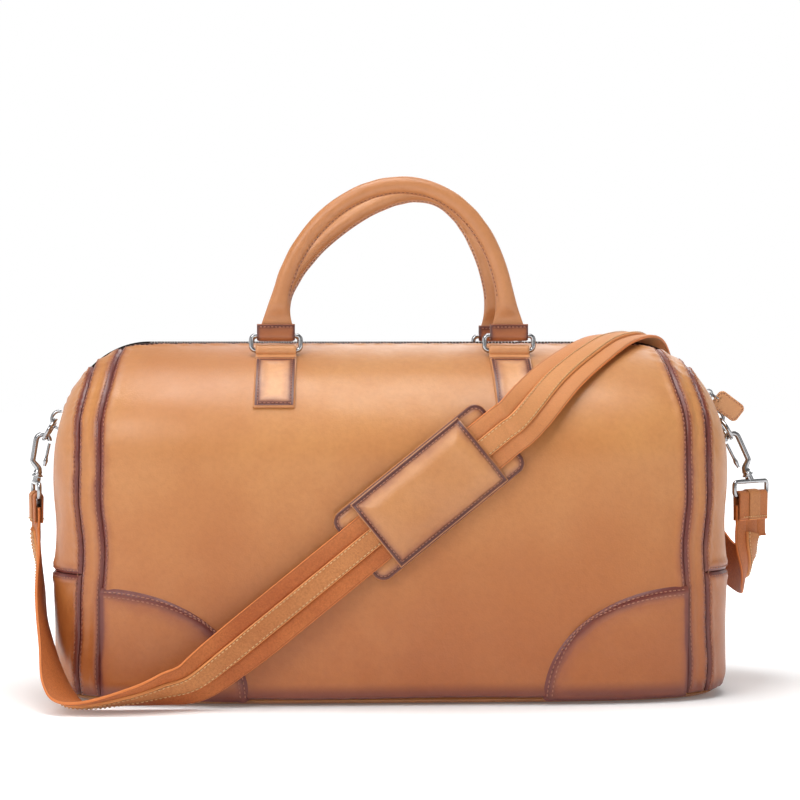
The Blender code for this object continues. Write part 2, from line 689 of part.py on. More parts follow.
def strap():
    """The strap and the strip that is sewn along its middle."""
    curve = curve_through(strap_stations(), 4)
    strip = CENTRE_WIDTH / STRAP_WIDTH
    half = STRAP_T / 2
    loft("shoulder_strap", strap_rings(curve, (-1, -strip, strip, 1), -half, half), "strap_leather")
    low = half + CENTRE_LIFT
    clear = 6  # rings left bare inside each eye's fold
    rings = strap_rings(curve[clear:-clear], (-strip, strip), low, low + CENTRE_T)
    loft("strap_centre_strip", rings, "strip_leather")


def strap_pad():
    """A padded base behind the strap and a sleeve over it, which slide together along the front run."""
    along, across, out = run_axes()
    behind = PAD_CENTRE - out * (STRAP_T / 2 + GAP + PAD_T / 2)
    slab(
        "shoulder_pad", lambda u, v, w: behind + along * u + across * v + out * w,
        PAD_LENGTH / 2, PAD_WIDTH / 2, PAD_CORNER, PAD_T / 2, "tan_leather", PAD_CENTRE,
    )
    top = STRAP_T / 2 + CENTRE_LIFT + CENTRE_T + 2 * GAP
    foot = -STRAP_T / 2
    shin, edge = STRAP_WIDTH / 2 + 0.0012, SLEEVE_WIDTH / 2
    arch = [(-edge, foot), (-shin - 0.002, foot), (-shin, top)]
    arch += [(-v, w) for v, w in reversed(arch)]
    lid = [(edge, foot + SLEEVE_T), (shin + 0.003, foot + SLEEVE_T), (shin + 0.001, top + SLEEVE_T)]
    outline = arch + lid + [(-v, w) for v, w in reversed(lid)]
    extrusion(
        "pad_sleeve", outline, lambda v, w: PAD_CENTRE + across * v + out * w, along, SLEEVE_LENGTH / 2,
        "tan_leather", PAD_CENTRE,
    )


# ---- the hardware at the ends ----


def end_hardware(side_name, side, eye, bar):
    """A staple in the end panel, the oval ring it holds, and the snap hook, gate and eye of the strap."""
    foot = skin(level_at(STAPLE_Z), 0.0 if side > 0 else math.pi)
    root = foot + X * side * (STAPLE_WIRE + 2 * GAP)
    arch = [root + (Z * math.cos(t) + X * side * math.sin(t)) * STAPLE_R for t in steps(10, 0, math.pi)]
    tube(f"staple_{side_name}", arch, Y, STAPLE_WIRE, 8, "chrome")

    crown = root + X * side * (STAPLE_R - STAPLE_WIRE - OVAL_WIRE - GAP)
    drop = Vector((side * 0.50, 0, -0.866)).normalized()
    middle = crown + drop * OVAL_HALF_DROP
    loop = [
        middle + Y * OVAL_HALF_Y * math.sin(t) + drop * OVAL_HALF_DROP * math.cos(t)
        for t in steps(24, 0, 2 * math.pi)[:-1]
    ]
    tube(f"end_ring_{side_name}", loop, drop.cross(Y), OVAL_WIRE, 8, "chrome", closed=True, pivot=crown)
    snap_hook(side_name, side, eye + Z * EYE_RISE / 2, crown + drop * 2 * OVAL_HALF_DROP)
    strap_end(side_name, eye, bar)


def snap_hook(side_name, side, hub, catch):
    """A hook that swivels on the eye's upper bar at hub and holds the oval ring's lower wire at catch."""
    tip = catch + (catch - hub).normalized() * (OVAL_WIRE + HOOK_WIRE + 2 * GAP) + X * side * 0.0008
    axis = (tip - hub).normalized()
    away = axis.cross(Y) * -side
    bow = (tip - hub).length - HOOK_HALF
    start = EYE_WIRE * 2.4 + GAP
    turns = steps(8, 0, math.pi * 0.94)
    path = [hub + axis * start, hub + axis * (start + HOOK_COLLAR_T)]
    path += [hub + axis * HOOK_NECK + away * 0.0012, hub + axis * (HOOK_NECK + 0.004) + away * HOOK_HALF]
    path += [hub + axis * bow + (away * math.cos(t) + axis * math.sin(t)) * HOOK_HALF for t in turns]
    sizes = [HOOK_COLLAR, HOOK_COLLAR, HOOK_WIRE + 0.0008] + [HOOK_WIRE] * 8
    sizes += [HOOK_WIRE * 0.9, HOOK_WIRE * 0.8]
    tube(f"snap_hook_{side_name}", path, Y, sizes, 8, "chrome", pivot=hub)

    gate_foot = hub + axis * (HOOK_NECK + 0.0030) - away * 0.0042
    gate_top = path[-1] - axis * (HOOK_WIRE * 0.9)
    gate = [gate_foot, (gate_foot + gate_top) / 2, gate_top]
    tube(f"snap_gate_{side_name}", gate, Y, GATE_WIRE, 6, "chrome", pivot=gate_foot)


def strap_end(side_name, eye, bar):
    """The rectangular eye of a hook's swivel, and the strap's end folded round its lower bar."""
    flat = rounded_rectangle(EYE_HALF, EYE_RISE / 2, 0.003, 3)
    start = len(flat) // 8
    frame = [eye + bar * u + Z * v for u, v in flat[start:] + flat[:start]]
    facing = bar.cross(Z)
    tube(f"strap_eye_{side_name}", frame, facing, EYE_WIRE, 8, "chrome", closed=True)
    low = eye - Z * EYE_RISE / 2
    outline = fold_outline(EYE_WIRE + FOLD_CLEAR, STRAP_FOLD_T, STRAP_FOLD_LEG, STRAP_T / 2 + 2 * GAP)
    extrusion(
        f"strap_fold_{side_name}", outline, lambda u, v: low + facing * u - Z * v, bar,
        STRAP_WIDTH / 2 - 0.0005, "strap_leather",
    )


def build():
    """Everything, in an empty scene."""
    for old in list(bpy.data.objects):
        bpy.data.objects.remove(old)
    walls()
    ends()
    corner_patches()
    inside_of_bag()
    zip_parts()
    handles()
    strap()
    strap_pad()
    end_hardware("left", -1, EYE_LEFT, Vector((0.2, -0.98, 0)).normalized())
    end_hardware("right", 1, EYE_RIGHT, Vector((0.707, 0.707, 0)).normalized())


build()
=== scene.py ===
"""The weekender bag as it looks: sewn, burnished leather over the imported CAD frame."""

import json
import math

import bpy
import numpy as np
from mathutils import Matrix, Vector, kdtree


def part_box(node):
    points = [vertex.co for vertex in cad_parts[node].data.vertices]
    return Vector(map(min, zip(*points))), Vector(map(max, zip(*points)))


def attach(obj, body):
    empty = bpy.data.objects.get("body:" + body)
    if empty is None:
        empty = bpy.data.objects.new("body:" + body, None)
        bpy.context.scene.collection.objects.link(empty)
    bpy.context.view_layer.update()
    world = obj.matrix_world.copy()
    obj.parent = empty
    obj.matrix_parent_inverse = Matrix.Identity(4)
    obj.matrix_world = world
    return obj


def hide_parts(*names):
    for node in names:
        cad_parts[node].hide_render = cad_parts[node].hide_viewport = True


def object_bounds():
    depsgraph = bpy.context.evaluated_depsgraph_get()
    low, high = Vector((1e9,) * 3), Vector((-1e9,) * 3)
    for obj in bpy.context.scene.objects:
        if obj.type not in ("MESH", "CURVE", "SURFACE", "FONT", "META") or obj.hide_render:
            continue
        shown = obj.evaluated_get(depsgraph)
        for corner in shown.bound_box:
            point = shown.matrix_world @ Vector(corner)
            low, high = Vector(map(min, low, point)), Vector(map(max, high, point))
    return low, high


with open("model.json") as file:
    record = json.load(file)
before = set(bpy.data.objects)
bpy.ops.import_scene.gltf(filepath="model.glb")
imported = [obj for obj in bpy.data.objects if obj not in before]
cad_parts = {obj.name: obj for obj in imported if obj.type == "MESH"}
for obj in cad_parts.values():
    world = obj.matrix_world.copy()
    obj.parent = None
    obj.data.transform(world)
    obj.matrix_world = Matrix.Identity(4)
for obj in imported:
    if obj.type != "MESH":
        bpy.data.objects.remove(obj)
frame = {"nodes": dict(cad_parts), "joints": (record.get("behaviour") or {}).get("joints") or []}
cad_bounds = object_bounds()

# ---- the body's skin, as the CAD model has it ----

END_BOX, PANEL_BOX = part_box("end_panel_right"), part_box("front_panel")
HALF_LENGTH, HALF_DEPTH = round(END_BOX[1][0], 3), round(-PANEL_BOX[0][1], 3)
EDGE_R = 0.018  # of the bottom edge
SHOULDER_Z, SHOULDER_X, SHOULDER_RISE = 0.176, 0.069, 0.085  # where the wall starts to lean in, and how far
RIDGE_HALF = HALF_LENGTH - SHOULDER_X
POWER = 4.2  # of the plan's superellipse
WALL = 0.0022
SEAM_Z, END_SEAM_Z = 0.004, 0.093
SEAM_GAP = 0.0003  # between two panels at a seam
BAND_INNER_X, BAND_OUTER_X, BAND_LEAN = 0.212, 0.2285, 0.012
PATCH_LENGTH, PATCH_HEIGHT = 0.106, 0.080
SLOT_Y = 0.0143  # half the width of the zip's slot
ZIP_END, SLIDER_AT = math.radians(25.8), math.radians(31.6)  # angles on the shoulder's arc
RING_WIRE = 0.0018
RING_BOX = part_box("handle_ring_front_right")
HANDLE_X = (RING_BOX[0][0] + RING_BOX[1][0]) / 2
HANDLE_Y = -(RING_BOX[0][1] + RING_BOX[1][1]) / 2
LOWER_BAR_Z, UPPER_BAR_Z = RING_BOX[0][2] + RING_WIRE, RING_BOX[1][2] - RING_WIRE
STRAP_WIDTH, STRAP_T = 0.038, 0.0026
CENTRE_WIDTH, CENTRE_T, CENTRE_LIFT = 0.014, 0.0010, 0.0012
RUN_SLOPE = math.radians(39)
PAD_CENTRE = np.array((0.023, -0.127, 0.154))

SIDES = (("left", -1), ("right", 1))
FACES = (("front", -1), ("rear", 1))
CORNERS = [(face_name, face, side_name, side) for face_name, face in FACES for side_name, side in SIDES]
FINE_STITCH = 0.0030, 0.0021, 0.0004  # pitch, length and radius of the stitches on small parts
X, Y, Z = np.eye(3)
JOINTS = {joint["name"]: joint for joint in frame["joints"]}


def anchor(name):
    return np.array(JOINTS[name]["pos_m"], float)


def level(h):
    """Half length, half depth and height of the plan outline at each h: 0 to 1 over the bottom edge, to 2 up
    the wall and to 3 over the shoulder."""
    h = np.asarray(h, float)
    foot = np.clip(h, 0, 1) * math.pi / 2
    inset = EDGE_R * (1 - np.sin(foot))
    turn = np.clip(h - 2, 0, 1) * math.pi / 2
    a = np.where(h < 2, HALF_LENGTH - inset, RIDGE_HALF + SHOULDER_X * np.cos(turn))
    b = np.where(h < 2, HALF_DEPTH - inset, HALF_DEPTH * np.cos(turn))
    low = EDGE_R * (1 - np.cos(foot)) + np.clip(h - 1, 0, 1) * (SHOULDER_Z - EDGE_R)
    return a, b, np.where(h < 2, low, SHOULDER_Z + SHOULDER_RISE * np.sin(turn))


def level_at(z):
    """The h at which the outline has this height."""
    z = np.asarray(z, float)
    foot = np.arccos(np.clip(1 - z / EDGE_R, -1, 1)) * 2 / math.pi
    wall = 1 + (z - EDGE_R) / (SHOULDER_Z - EDGE_R)
    over = 2 + np.arcsin(np.clip((z - SHOULDER_Z) / SHOULDER_RISE, 0, 1)) * 2 / math.pi
    return np.where(z < EDGE_R, foot, np.where(z < SHOULDER_Z, wall, over))


def other_side(share):
    """The other coordinate's share of its half where one coordinate has this share of its own."""
    return np.maximum(0.0, 1 - np.abs(share) ** POWER) ** (1 / POWER)


def angle_at_x(h, x, face):
    share = x / level(h)[0]
    return np.arctan2(face * other_side(share), share)


def angle_at_y(h, y, side):
    share = y / level(h)[1]
    return np.arctan2(share, side * other_side(share))


def spot(h, angle):
    """The point of the skin at a level and an angle in the plan."""
    a, b, z = level(h)
    c, s = np.cos(angle), np.sin(angle)
    reach = (np.abs(c) ** POWER + np.abs(s) ** POWER) ** (-1 / POWER)
    return np.stack([a * c * reach, b * s * reach, z + 0 * c], -1)


def unit(v):
    return v / np.maximum(np.linalg.norm(v, axis=-1, keepdims=True), 1e-12)


def skin_normal(h, angle):
    """The way the skin faces there."""
    step = 1e-3
    along = spot(h, angle + step) - spot(h, angle - step)
    up = spot(h + step, angle) - spot(h - step, angle)
    return unit(np.cross(along, up))


def seam_wander(z):
    """How far a band's seams wander from straight, since the leather is worked by hand."""
    return 0.0016 * np.sin(z * 41 + 0.6) + 0.0007 * np.sin(z * 97)


def seam_x(h, at_wall):
    """x of a band's seam at each h, which runs at at_wall on the wall."""
    z = level(h)[2]
    wander = seam_wander(z) * np.clip(z / 0.03, 0, 1) * np.clip((0.25 - z) / 0.03, 0, 1)
    return at_wall - BAND_LEAN * np.maximum(0.0, (z - SHOULDER_Z) / SHOULDER_RISE) ** 3 + wander


def top_level(x_at, y=SLOT_Y):
    """The level at which the line x_at(h) on the skin comes in to this y."""
    low, high = 2.0, 3.0
    for _ in range(40):
        h = (low + high) / 2
        a, b, _z = level(h)
        if b * other_side(min(1.0, abs(float(x_at(h))) / float(a))) > y:
            low = h
        else:
            high = h
    return low


# ---- seams: where they run, and how the leather sinks and puckers along them ----


def run_of(points):
    """The distance along a polyline at each of its points."""
    return np.concatenate([[0], np.cumsum(np.linalg.norm(np.diff(points, axis=0), axis=1))])


def along_of(points, closed=False):
    """From the point before to the point after each one."""
    if closed:
        return np.roll(points, -1, 0) - np.roll(points, 1, 0)
    return np.concatenate([points[1:], points[-1:]]) - np.concatenate([points[:1], points[:-1]])


def resample(points, spacing):
    """The same polyline with evenly spaced points."""
    run = run_of(points)
    at = np.linspace(0, run[-1], max(2, int(run[-1] / spacing) + 1))
    return np.stack([np.interp(at, run, points[:, k]) for k in range(points.shape[1])], -1)


def wall_line(x_at, face, count=160):
    """(h, angle) of the line x_at(h) on the front or rear, from the base seam to the zip's slot."""
    h = np.linspace(float(level_at(SEAM_Z)), top_level(x_at), count)
    return np.stack([h, angle_at_x(h, x_at(h), face)], -1)


def top_edge(half, y, face):
    """h and angle along the zip's slot at this y, from -half to half."""
    xs = np.linspace(-half, half, 240)
    h = np.array([top_level(lambda _h: x, y) for x in xs])
    return h, angle_at_x(h, xs, face)


def end_line(z, beyond, side):
    """h and angle of a level line round an end, from band to band or this far beyond them."""
    h = float(level_at(z))
    edge = abs(float(angle_at_x(h, seam_x(h, BAND_OUTER_X) + beyond, 1)))
    reach = np.linspace(-edge, edge, 200)
    return np.full_like(reach, h), reach if side > 0 else math.pi - reach


def seam_lines():
    """Every seam of the body, as lines of (h, angle)."""
    lines = []
    slot_h = float(level_at(SHOULDER_Z + SHOULDER_RISE * math.sin(ZIP_END)))
    up = np.linspace(slot_h, top_level(lambda h: seam_x(h, BAND_OUTER_X)), 60)
    for _face_name, face, _side_name, side in CORNERS:
        lines += [wall_line(lambda h, x=x: side * seam_x(h, x), face) for x in (BAND_INNER_X, BAND_OUTER_X)]
        lines.append(np.stack([up, angle_at_y(up, face * SLOT_Y, side)], -1))
    for _face_name, face in FACES:
        lines.append(np.stack(top_edge(0.2, SLOT_Y, face), -1))
    ring = np.linspace(0, 2 * math.pi, 900)
    lines.append(np.stack([np.full_like(ring, float(level_at(SEAM_Z))), ring], -1))
    for _side_name, side in SIDES:
        lines.append(np.stack(end_line(END_SEAM_Z, 0.0, side), -1))
    return lines


def tree_of(clouds):
    cloud = np.concatenate(clouds)
    tree = kdtree.KDTree(len(cloud))
    for i, p in enumerate(cloud):
        tree.insert(p, i)
    tree.balance()
    return tree


def distances(tree, points):
    flat = points.reshape(-1, 3)
    return np.array([tree.find(p)[2] for p in flat]).reshape(points.shape[:-1])


SEAM_TREE = tree_of([resample(spot(line[:, 0], line[:, 1]), 0.0004) for line in seam_lines()])


def bump(d, width):
    return np.exp(-((d / width) ** 2))


def drape(p):
    """How far the leather stands out from the plain skin: it fills low down, hollows between the handles, and
    creases near the ends' seams."""
    x, y, z = p[..., 0], p[..., 1], p[..., 2]
    wall = np.clip((np.abs(y) - 0.08) / 0.03, 0, 1)
    out = 0.0014 * bump(z - 0.07, 0.05) * bump(x, 0.17) * wall
    out -= 0.0022 * bump(x - 0.01, 0.06) * bump(z - 0.225, 0.03) * wall
    out += 0.0008 * np.sin(x * 31 + 1.3 * np.sin(z * 23)) * np.sin(z * 27 + y * 9) * wall
    end = np.clip((np.abs(x) - 0.19) / 0.03, 0, 1)
    lean = np.abs(x) - 0.235
    crease = (lean + (z - 0.185) * 0.55) / 0.006
    out -= 0.0030 * np.exp(-(crease**2)) * bump(z - 0.185, 0.020) * wall * end
    crease = (lean + (z - 0.168) * 0.3 + 0.012) / 0.006
    out -= 0.0016 * np.exp(-(crease**2)) * bump(z - 0.168, 0.024) * wall * end
    out += 0.0012 * np.sin(z * 75 + y * 30) * np.sin(y * 38) * end * bump(z - 0.13, 0.07) * (1 - wall)
    return out


def pucker(p, d):
    """The groove of a seam at distance d, the rolled leather beside it, and small gathers that die out away
    from it."""
    along = p[..., 2] * 520 + p[..., 0] * 430 + p[..., 1] * 470
    out = -0.0014 * bump(d, 0.0011) + 0.0008 * bump(d - 0.0052, 0.0028) - 0.0003 * bump(d - 0.0027, 0.0007)
    return out + 0.00030 * np.sin(along + 2 * np.sin(along * 0.31)) * bump(d - 0.006, 0.0055)


def on_body(h, angle, lift=0.0, seams=True):
    """Points of the leather's outer face, moved out by lift, and their distance to the nearest seam."""
    base = spot(h, angle)
    normal = skin_normal(h, angle)
    d = distances(SEAM_TREE, base)
    rise = drape(base) + lift
    if seams:
        rise = rise + pucker(base, d)
    return base + normal * rise[..., None], normal, d


# ---- meshes ----


def make(name, points, faces, look, body="root", slot="tan_leather", replaced=(), attributes=None, sharp=40):
    """A piece of the object from world points. It rides on body and stands for the replaced CAD nodes."""
    mesh = bpy.data.meshes.new(name)
    mesh.from_pydata(np.asarray(points).tolist(), [], [list(map(int, f)) for f in faces])
    for key, values in (attributes or {}).items():
        layer = mesh.attributes.new(key, "FLOAT", "POINT")
        layer.data.foreach_set("value", np.asarray(values, np.float32))
    mesh.materials.append(look)
    mesh.shade_smooth()
    mesh.set_sharp_from_angle(angle=math.radians(sharp))
    mesh.update()
    made = bpy.data.objects.new(name, mesh)
    bpy.context.collection.objects.link(made)
    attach(made, body)
    if replaced:
        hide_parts(*replaced)


def grid_faces(rows, columns, at):
    """Quads between rows and columns of points, as an array of corner indices for each cell."""
    i, j = np.meshgrid(np.arange(rows), np.arange(columns), indexing="ij")
    return np.stack([at(i, j), at(i, j + 1), at(i + 1, j + 1), at(i + 1, j)], -1)


def sheet(name, outer, inner, look, present=None, seam=None, **rest):
    """A closed panel between two grids of points. present marks the cells that it has."""
    rows, columns = outer.shape[0] - 1, outer.shape[1] - 1
    cells = grid_faces(rows, columns, lambda i, j: i * (columns + 1) + j)
    has = np.ones((rows, columns), bool) if present is None else present
    inside = outer.shape[0] * outer.shape[1]
    faces = [tuple(q) for q in cells[has]] + [tuple(inside + q[::-1]) for q in cells[has]]
    padded = np.zeros((rows + 2, columns + 2), bool)
    padded[1:-1, 1:-1] = has
    for k, (di, dj) in enumerate(((-1, 0), (0, 1), (1, 0), (0, -1))):
        rim = has & ~padded[1 + di:rows + 1 + di, 1 + dj:columns + 1 + dj]
        for q in cells[rim]:
            p, r = q[k], q[(k + 1) % 4]
            faces.append((r, p, p + inside, r + inside))
    points = np.concatenate([outer.reshape(-1, 3), inner.reshape(-1, 3)])
    used = np.zeros(len(points), bool)
    used[np.unique(np.concatenate([np.array(f) for f in faces]))] = True
    index = np.cumsum(used) - 1
    faces = [tuple(index[list(f)]) for f in faces]
    attributes = {}
    if seam is not None:
        attributes["seam"] = (np.concatenate([seam.ravel(), seam.ravel()]) * 1000)[used]
    make(name, points[used], faces, look, attributes=attributes, **rest)


def loft(name, rings, look, closed=False, attributes=None, **rest):
    """A skin through rings of equal length, as an array (rings, points, 3). An open loft is capped."""
    rings = np.asarray(rings, float)
    count, size = rings.shape[:2]
    i, j = np.meshgrid(np.arange(count if closed else count - 1), np.arange(size), indexing="ij")
    k, up = (j + 1) % size, (i + 1) % count
    quads = np.stack([i * size + j, i * size + k, up * size + k, up * size + j], -1).reshape(-1, 4)
    faces = [tuple(q) for q in quads]
    if not closed:
        last = (count - 1) * size
        faces += [tuple(range(size))[::-1], tuple(range(last, last + size))]
    make(name, rings.reshape(-1, 3), faces, look, attributes=attributes, **rest)


STITCHES = {}


def stitch_line(group, points, normals, pitch=0.0036, length=0.0025, radius=0.00047, sink=0.0):
    """Adds a row of stitches along a line on a surface to a group, which becomes one piece later. normals is
    one direction or one for each point."""
    both = resample(np.concatenate([points, np.broadcast_to(normals, points.shape)], 1), pitch / 8)
    line, up = both[:, :3], unit(both[:, 3:])
    run = run_of(line)
    for centre in np.arange(pitch * 0.5, run[-1], pitch):
        def at(s, source):
            return np.array([np.interp(s, run, source[:, k]) for k in range(3)])

        a, b = at(centre - length / 2, line), at(centre + length / 2, line)
        normal = unit(at(centre, up))
        axis = unit(b - a)
        side = np.cross(axis, normal)
        middle = (a + b) / 2 + normal * (radius * 0.35 - sink)
        STITCHES.setdefault(group, []).append((middle, axis, side, normal, length / 2, radius))


def sew(group, look, body, slot):
    """One piece from all the stitches of a group."""
    rings = ((-0.78, 0.62), (0.0, 1.0), (0.78, 0.62))
    sides = 6
    turns = np.arange(sides) * 2 * math.pi / sides
    points, faces = [], []
    for middle, axis, side, normal, half, radius in STITCHES[group]:
        first = len(points)
        points.append(middle - axis * half - normal * radius * 0.6)
        for t, share in rings:
            arch = normal * radius * 0.5 * (1 - t * t)
            for turn in turns:
                out = side * math.cos(turn) + normal * math.sin(turn)
                points.append(middle + axis * half * t + arch + out * radius * share)
        points.append(middle + axis * half - normal * radius * 0.6)
        last = len(points) - 1
        for k in range(sides):
            m = (k + 1) % sides
            faces.append((first, first + 1 + m, first + 1 + k))
            faces.append((last, last - sides + k, last - sides + m))
            for ring in range(2):
                low = first + 1 + ring * sides
                faces.append((low + k, low + m, low + sides + m, low + sides + k))
    make(f"thread_{group}", points, faces, look, body, slot, sharp=80)


# ---- materials ----


class Nodes:
    """Short names for making the nodes of a new material or of a world."""

    def __init__(self, name, world=None):
        self.made = world or bpy.data.materials.new(name)
        self.made.use_nodes = True
        self.tree = self.made.node_tree
        self.shader = self.tree.nodes["Background" if world else "Principled BSDF"]
        self.place = self.add("ShaderNodeTexCoord").outputs["Generated" if world else "Object"]

    def add(self, kind, **settings):
        node = self.tree.nodes.new(kind)
        for key, value in settings.items():
            setattr(node, key, value)
        return node

    def join(self, socket, source):
        if isinstance(source, bpy.types.NodeSocket):
            self.tree.links.new(source, socket)
        else:
            socket.default_value = source

    def feed(self, node, out, **inputs):
        for key, source in inputs.items():
            self.join(node.inputs[key.replace("_", " ")], source)
        return node.outputs[out]

    def noise(self, scale, detail=2.0, rough=0.5):
        node = self.add("ShaderNodeTexNoise")
        return self.feed(node, "Fac", Vector=self.place, Scale=scale, Detail=detail, Roughness=rough)

    def cells(self, scale, feature="F1"):
        node = self.add("ShaderNodeTexVoronoi", feature=feature)
        return self.feed(node, "Distance", Vector=self.place, Scale=scale)

    def math(self, operation, a, b=0.5, c=0.5):
        node = self.add("ShaderNodeMath", operation=operation)
        for k, source in enumerate((a, b, c)):
            self.join(node.inputs[k], source)
        return node.outputs[0]

    def ramp(self, value, low, high, to_low=0.0, to_high=1.0, kind="SMOOTHSTEP"):
        """to_low at low, to_high at high."""
        node = self.add("ShaderNodeMapRange", interpolation_type=kind)
        ends = {"From_Min": low, "From_Max": high, "To_Min": to_low, "To_Max": to_high}
        return self.feed(node, "Result", Value=value, **ends)

    def vector(self, operation, a, b=None, out="Vector"):
        node = self.add("ShaderNodeVectorMath", operation=operation)
        self.join(node.inputs[0], a)
        if b:
            self.join(node.inputs[1], b)
        return node.outputs[out]

    def axes(self):
        """The x, y and z of the place."""
        node = self.add("ShaderNodeSeparateXYZ")
        self.join(node.inputs[0], self.place)
        return node.outputs

    def mix(self, share, a, b, blend="MIX"):
        node = self.add("ShaderNodeMix", data_type="RGBA", blend_type=blend)
        self.join(node.inputs[0], share)
        self.join(node.inputs[6], a if isinstance(a, bpy.types.NodeSocket) else (*a, 1))
        self.join(node.inputs[7], b if isinstance(b, bpy.types.NodeSocket) else (*b, 1))
        return node.outputs[2]

    def finish(self, colour, rough, specular=0.5, coat=0.0):
        sockets = self.shader.inputs
        self.join(sockets["Base Color"], colour)
        self.join(sockets["Roughness"], rough)
        sockets["Specular IOR Level"].default_value = specular
        sockets["Coat Weight"].default_value = coat

    def attribute(self, name):
        return self.add("ShaderNodeAttribute", attribute_name=name).outputs["Fac"]

    def height(self, *layers):
        """Bumps laid one on another, each (height socket, distance in metres, strength)."""
        below = {}
        for value, distance, strength in layers:
            node = self.add("ShaderNodeBump")
            normal = self.feed(node, 0, Height=value, Distance=distance, Strength=strength, **below)
            below = {"Normal": normal}
        self.feed(self.shader, 0, **below)


def srgb(r, g, b):
    return tuple(((c / 255 + 0.055) / 1.055) ** 2.4 for c in (r, g, b))


def times(colour, factor):
    return tuple(min(1, c * factor) for c in colour)


def leather(name, light, dark, burnish=(0, 0, 0), core=(0, 0, 0), reach=0.0, edge=0.0, patina=0.0):
    """Vegetable-tanned leather: cloudy tan, fine grain and pores, and burnish that fades out over reach mm
    from the seams. edge is the width in mm of a bare cut edge. The last argument sets how much painted shade
    darkens the tone low down; it also paints the rounded bottom edge dark, partly burnish and partly painted
    shade."""
    light, dark, burnish, core = (srgb(*tone) for tone in (light, dark, burnish, core))
    n = Nodes(f"{name}_leather")
    cloud = n.noise(6.0, 3, 0.55)
    blotch = n.noise(34.0, 4, 0.6)
    fine = n.noise(240.0, 3, 0.6)
    tan = n.mix(n.ramp(cloud, 0.32, 0.68), light, dark)
    tan = n.mix(n.ramp(blotch, 0.35, 0.75, 0.0, 0.40), tan, dark)
    tan = n.mix(n.ramp(fine, 0.3, 0.8, 0.0, 0.20), tan, times(dark, 0.68))
    if patina:
        z = n.axes()[2]
        # Painted shade: the tone is multiplied darker towards the bottom, below z = 0.225 m, along a ragged
        # line.
        height = n.math("ADD", n.math("MULTIPLY_ADD", n.noise(5.0, 3, 0.5), 0.10, -0.05), z)
        tan = n.mix(n.ramp(height, 0.225, 0.0, 0.0, patina), tan, (0.78, 0.54, 0.36), "MULTIPLY")
        # The rounded bottom edge is painted towards the core colour: partly the base seam's burnish, partly
        # painted shade under the bag.
        tan = n.mix(n.ramp(z, 0.018, 0.006, 0.0, 0.92), tan, core)
    rough = n.ramp(blotch, 0.2, 0.8, 0.36, 0.52)
    if reach:
        seam = n.attribute("seam")
        patchy = n.noise(26.0, 3, 0.6)
        ragged = n.math("MULTIPLY_ADD", n.noise(75.0, 4, 0.7), 6.0, -3.0)
        away = n.math("ADD", seam, ragged)
        broad = n.math("MULTIPLY", n.ramp(away, reach, 0.4), n.ramp(patchy, 0.34, 0.62, 0.50, 0.95))
        close = n.math("ADD", seam, n.math("MULTIPLY", ragged, 0.30))
        tight = n.ramp(close, reach * 0.52, reach * 0.2)
        tight = n.math("MULTIPLY", tight, n.ramp(patchy, 0.28, 0.50, 0.78, 0.98))
        tan = n.mix(broad, tan, burnish)
        tan = n.mix(tight, tan, core)
        if edge:
            tan = n.mix(n.ramp(seam, edge + 0.35, edge - 0.15, 0.0, 0.85), tan, times(dark, 1.02))
        rough = n.math("MULTIPLY_ADD", tight, -0.06, rough)
    n.finish(tan, rough, specular=0.5, coat=0.16)
    n.shader.inputs["Coat Roughness"].default_value = 0.34
    n.height((n.noise(46.0, 4, 0.55), 0.0014, 0.26), (n.cells(210.0, "DISTANCE_TO_EDGE"), 0.0004, 0.18),
             (n.cells(780.0), 0.0002, 0.34))
    return n.made


def strap_leather(name, light, dark):
    """The strap's coarse leather, with a close cross-hatched grain, bare, paler edges and painted light
    higher up.
    """
    light, dark = srgb(*light), srgb(*dark)
    n = Nodes(f"{name}_leather")
    seam = n.attribute("seam")
    cloud = n.noise(14.0, 3, 0.55)
    grit = n.noise(620.0, 4, 0.75)
    hatch = n.cells(900.0)
    tone = n.mix(n.ramp(cloud, 0.3, 0.7), light, dark)
    tone = n.mix(n.ramp(grit, 0.36, 0.72, 0.0, 0.55), tone, times(dark, 0.62))
    tone = n.mix(n.ramp(hatch, 0.05, 0.5, 0.25, 0.0), tone, times(light, 1.35))
    # Painted light: the strap is mixed towards a lighter orange higher up, where the light from above falls
    # on it.
    tone = n.mix(n.ramp(n.axes()[2], 0.08, 0.25, 0.0, 0.6), tone, (0.68, 0.31, 0.12))
    tone = n.mix(n.ramp(seam, 1.7, 0.9, 0.0, 0.45), tone, times(dark, 0.55))
    tone = n.mix(n.ramp(seam, 0.75, 0.35, 0.0, 0.7), tone, times(light, 1.5))
    n.finish(tone, 0.62, specular=0.35)
    n.height((grit, 0.0004, 0.45), (hatch, 0.0003, 0.35), (n.noise(60.0, 3), 0.0008, 0.2))
    return n.made


def metal(name, colour, rough):
    n = Nodes(name)
    n.shader.inputs["Metallic"].default_value = 1.0
    smear = n.noise(160.0, 3, 0.6)
    tone = n.mix(n.ramp(smear, 0.3, 0.7), colour, times(colour, 0.86))
    n.finish(tone, n.ramp(smear, 0.3, 0.75, rough, rough + 0.10))
    n.height((n.noise(900.0, 2), 0.0001, 0.08))
    return n.made


def cloth(name, colour, pitch=0.0007, rough=0.85):
    """A plain weave of threads this far apart."""
    n = Nodes(name)
    x, y, z = n.axes()
    across, down = (n.math("SINE", n.math("MULTIPLY", n.math("ADD", a, z), math.pi / pitch)) for a in (x, y))
    weave = n.math("ABSOLUTE", n.math("MULTIPLY", across, down))
    faded = n.ramp(n.noise(30.0, 3), 0.3, 0.7, 0.0, 0.4)
    base = n.mix(n.ramp(weave, 0, 1), times(colour, 0.6), colour)
    n.finish(n.mix(faded, base, times(colour, 1.4)), rough)
    n.shader.inputs["Sheen Weight"].default_value = 0.04
    n.height((weave, 0.0003, 0.5))
    return n.made


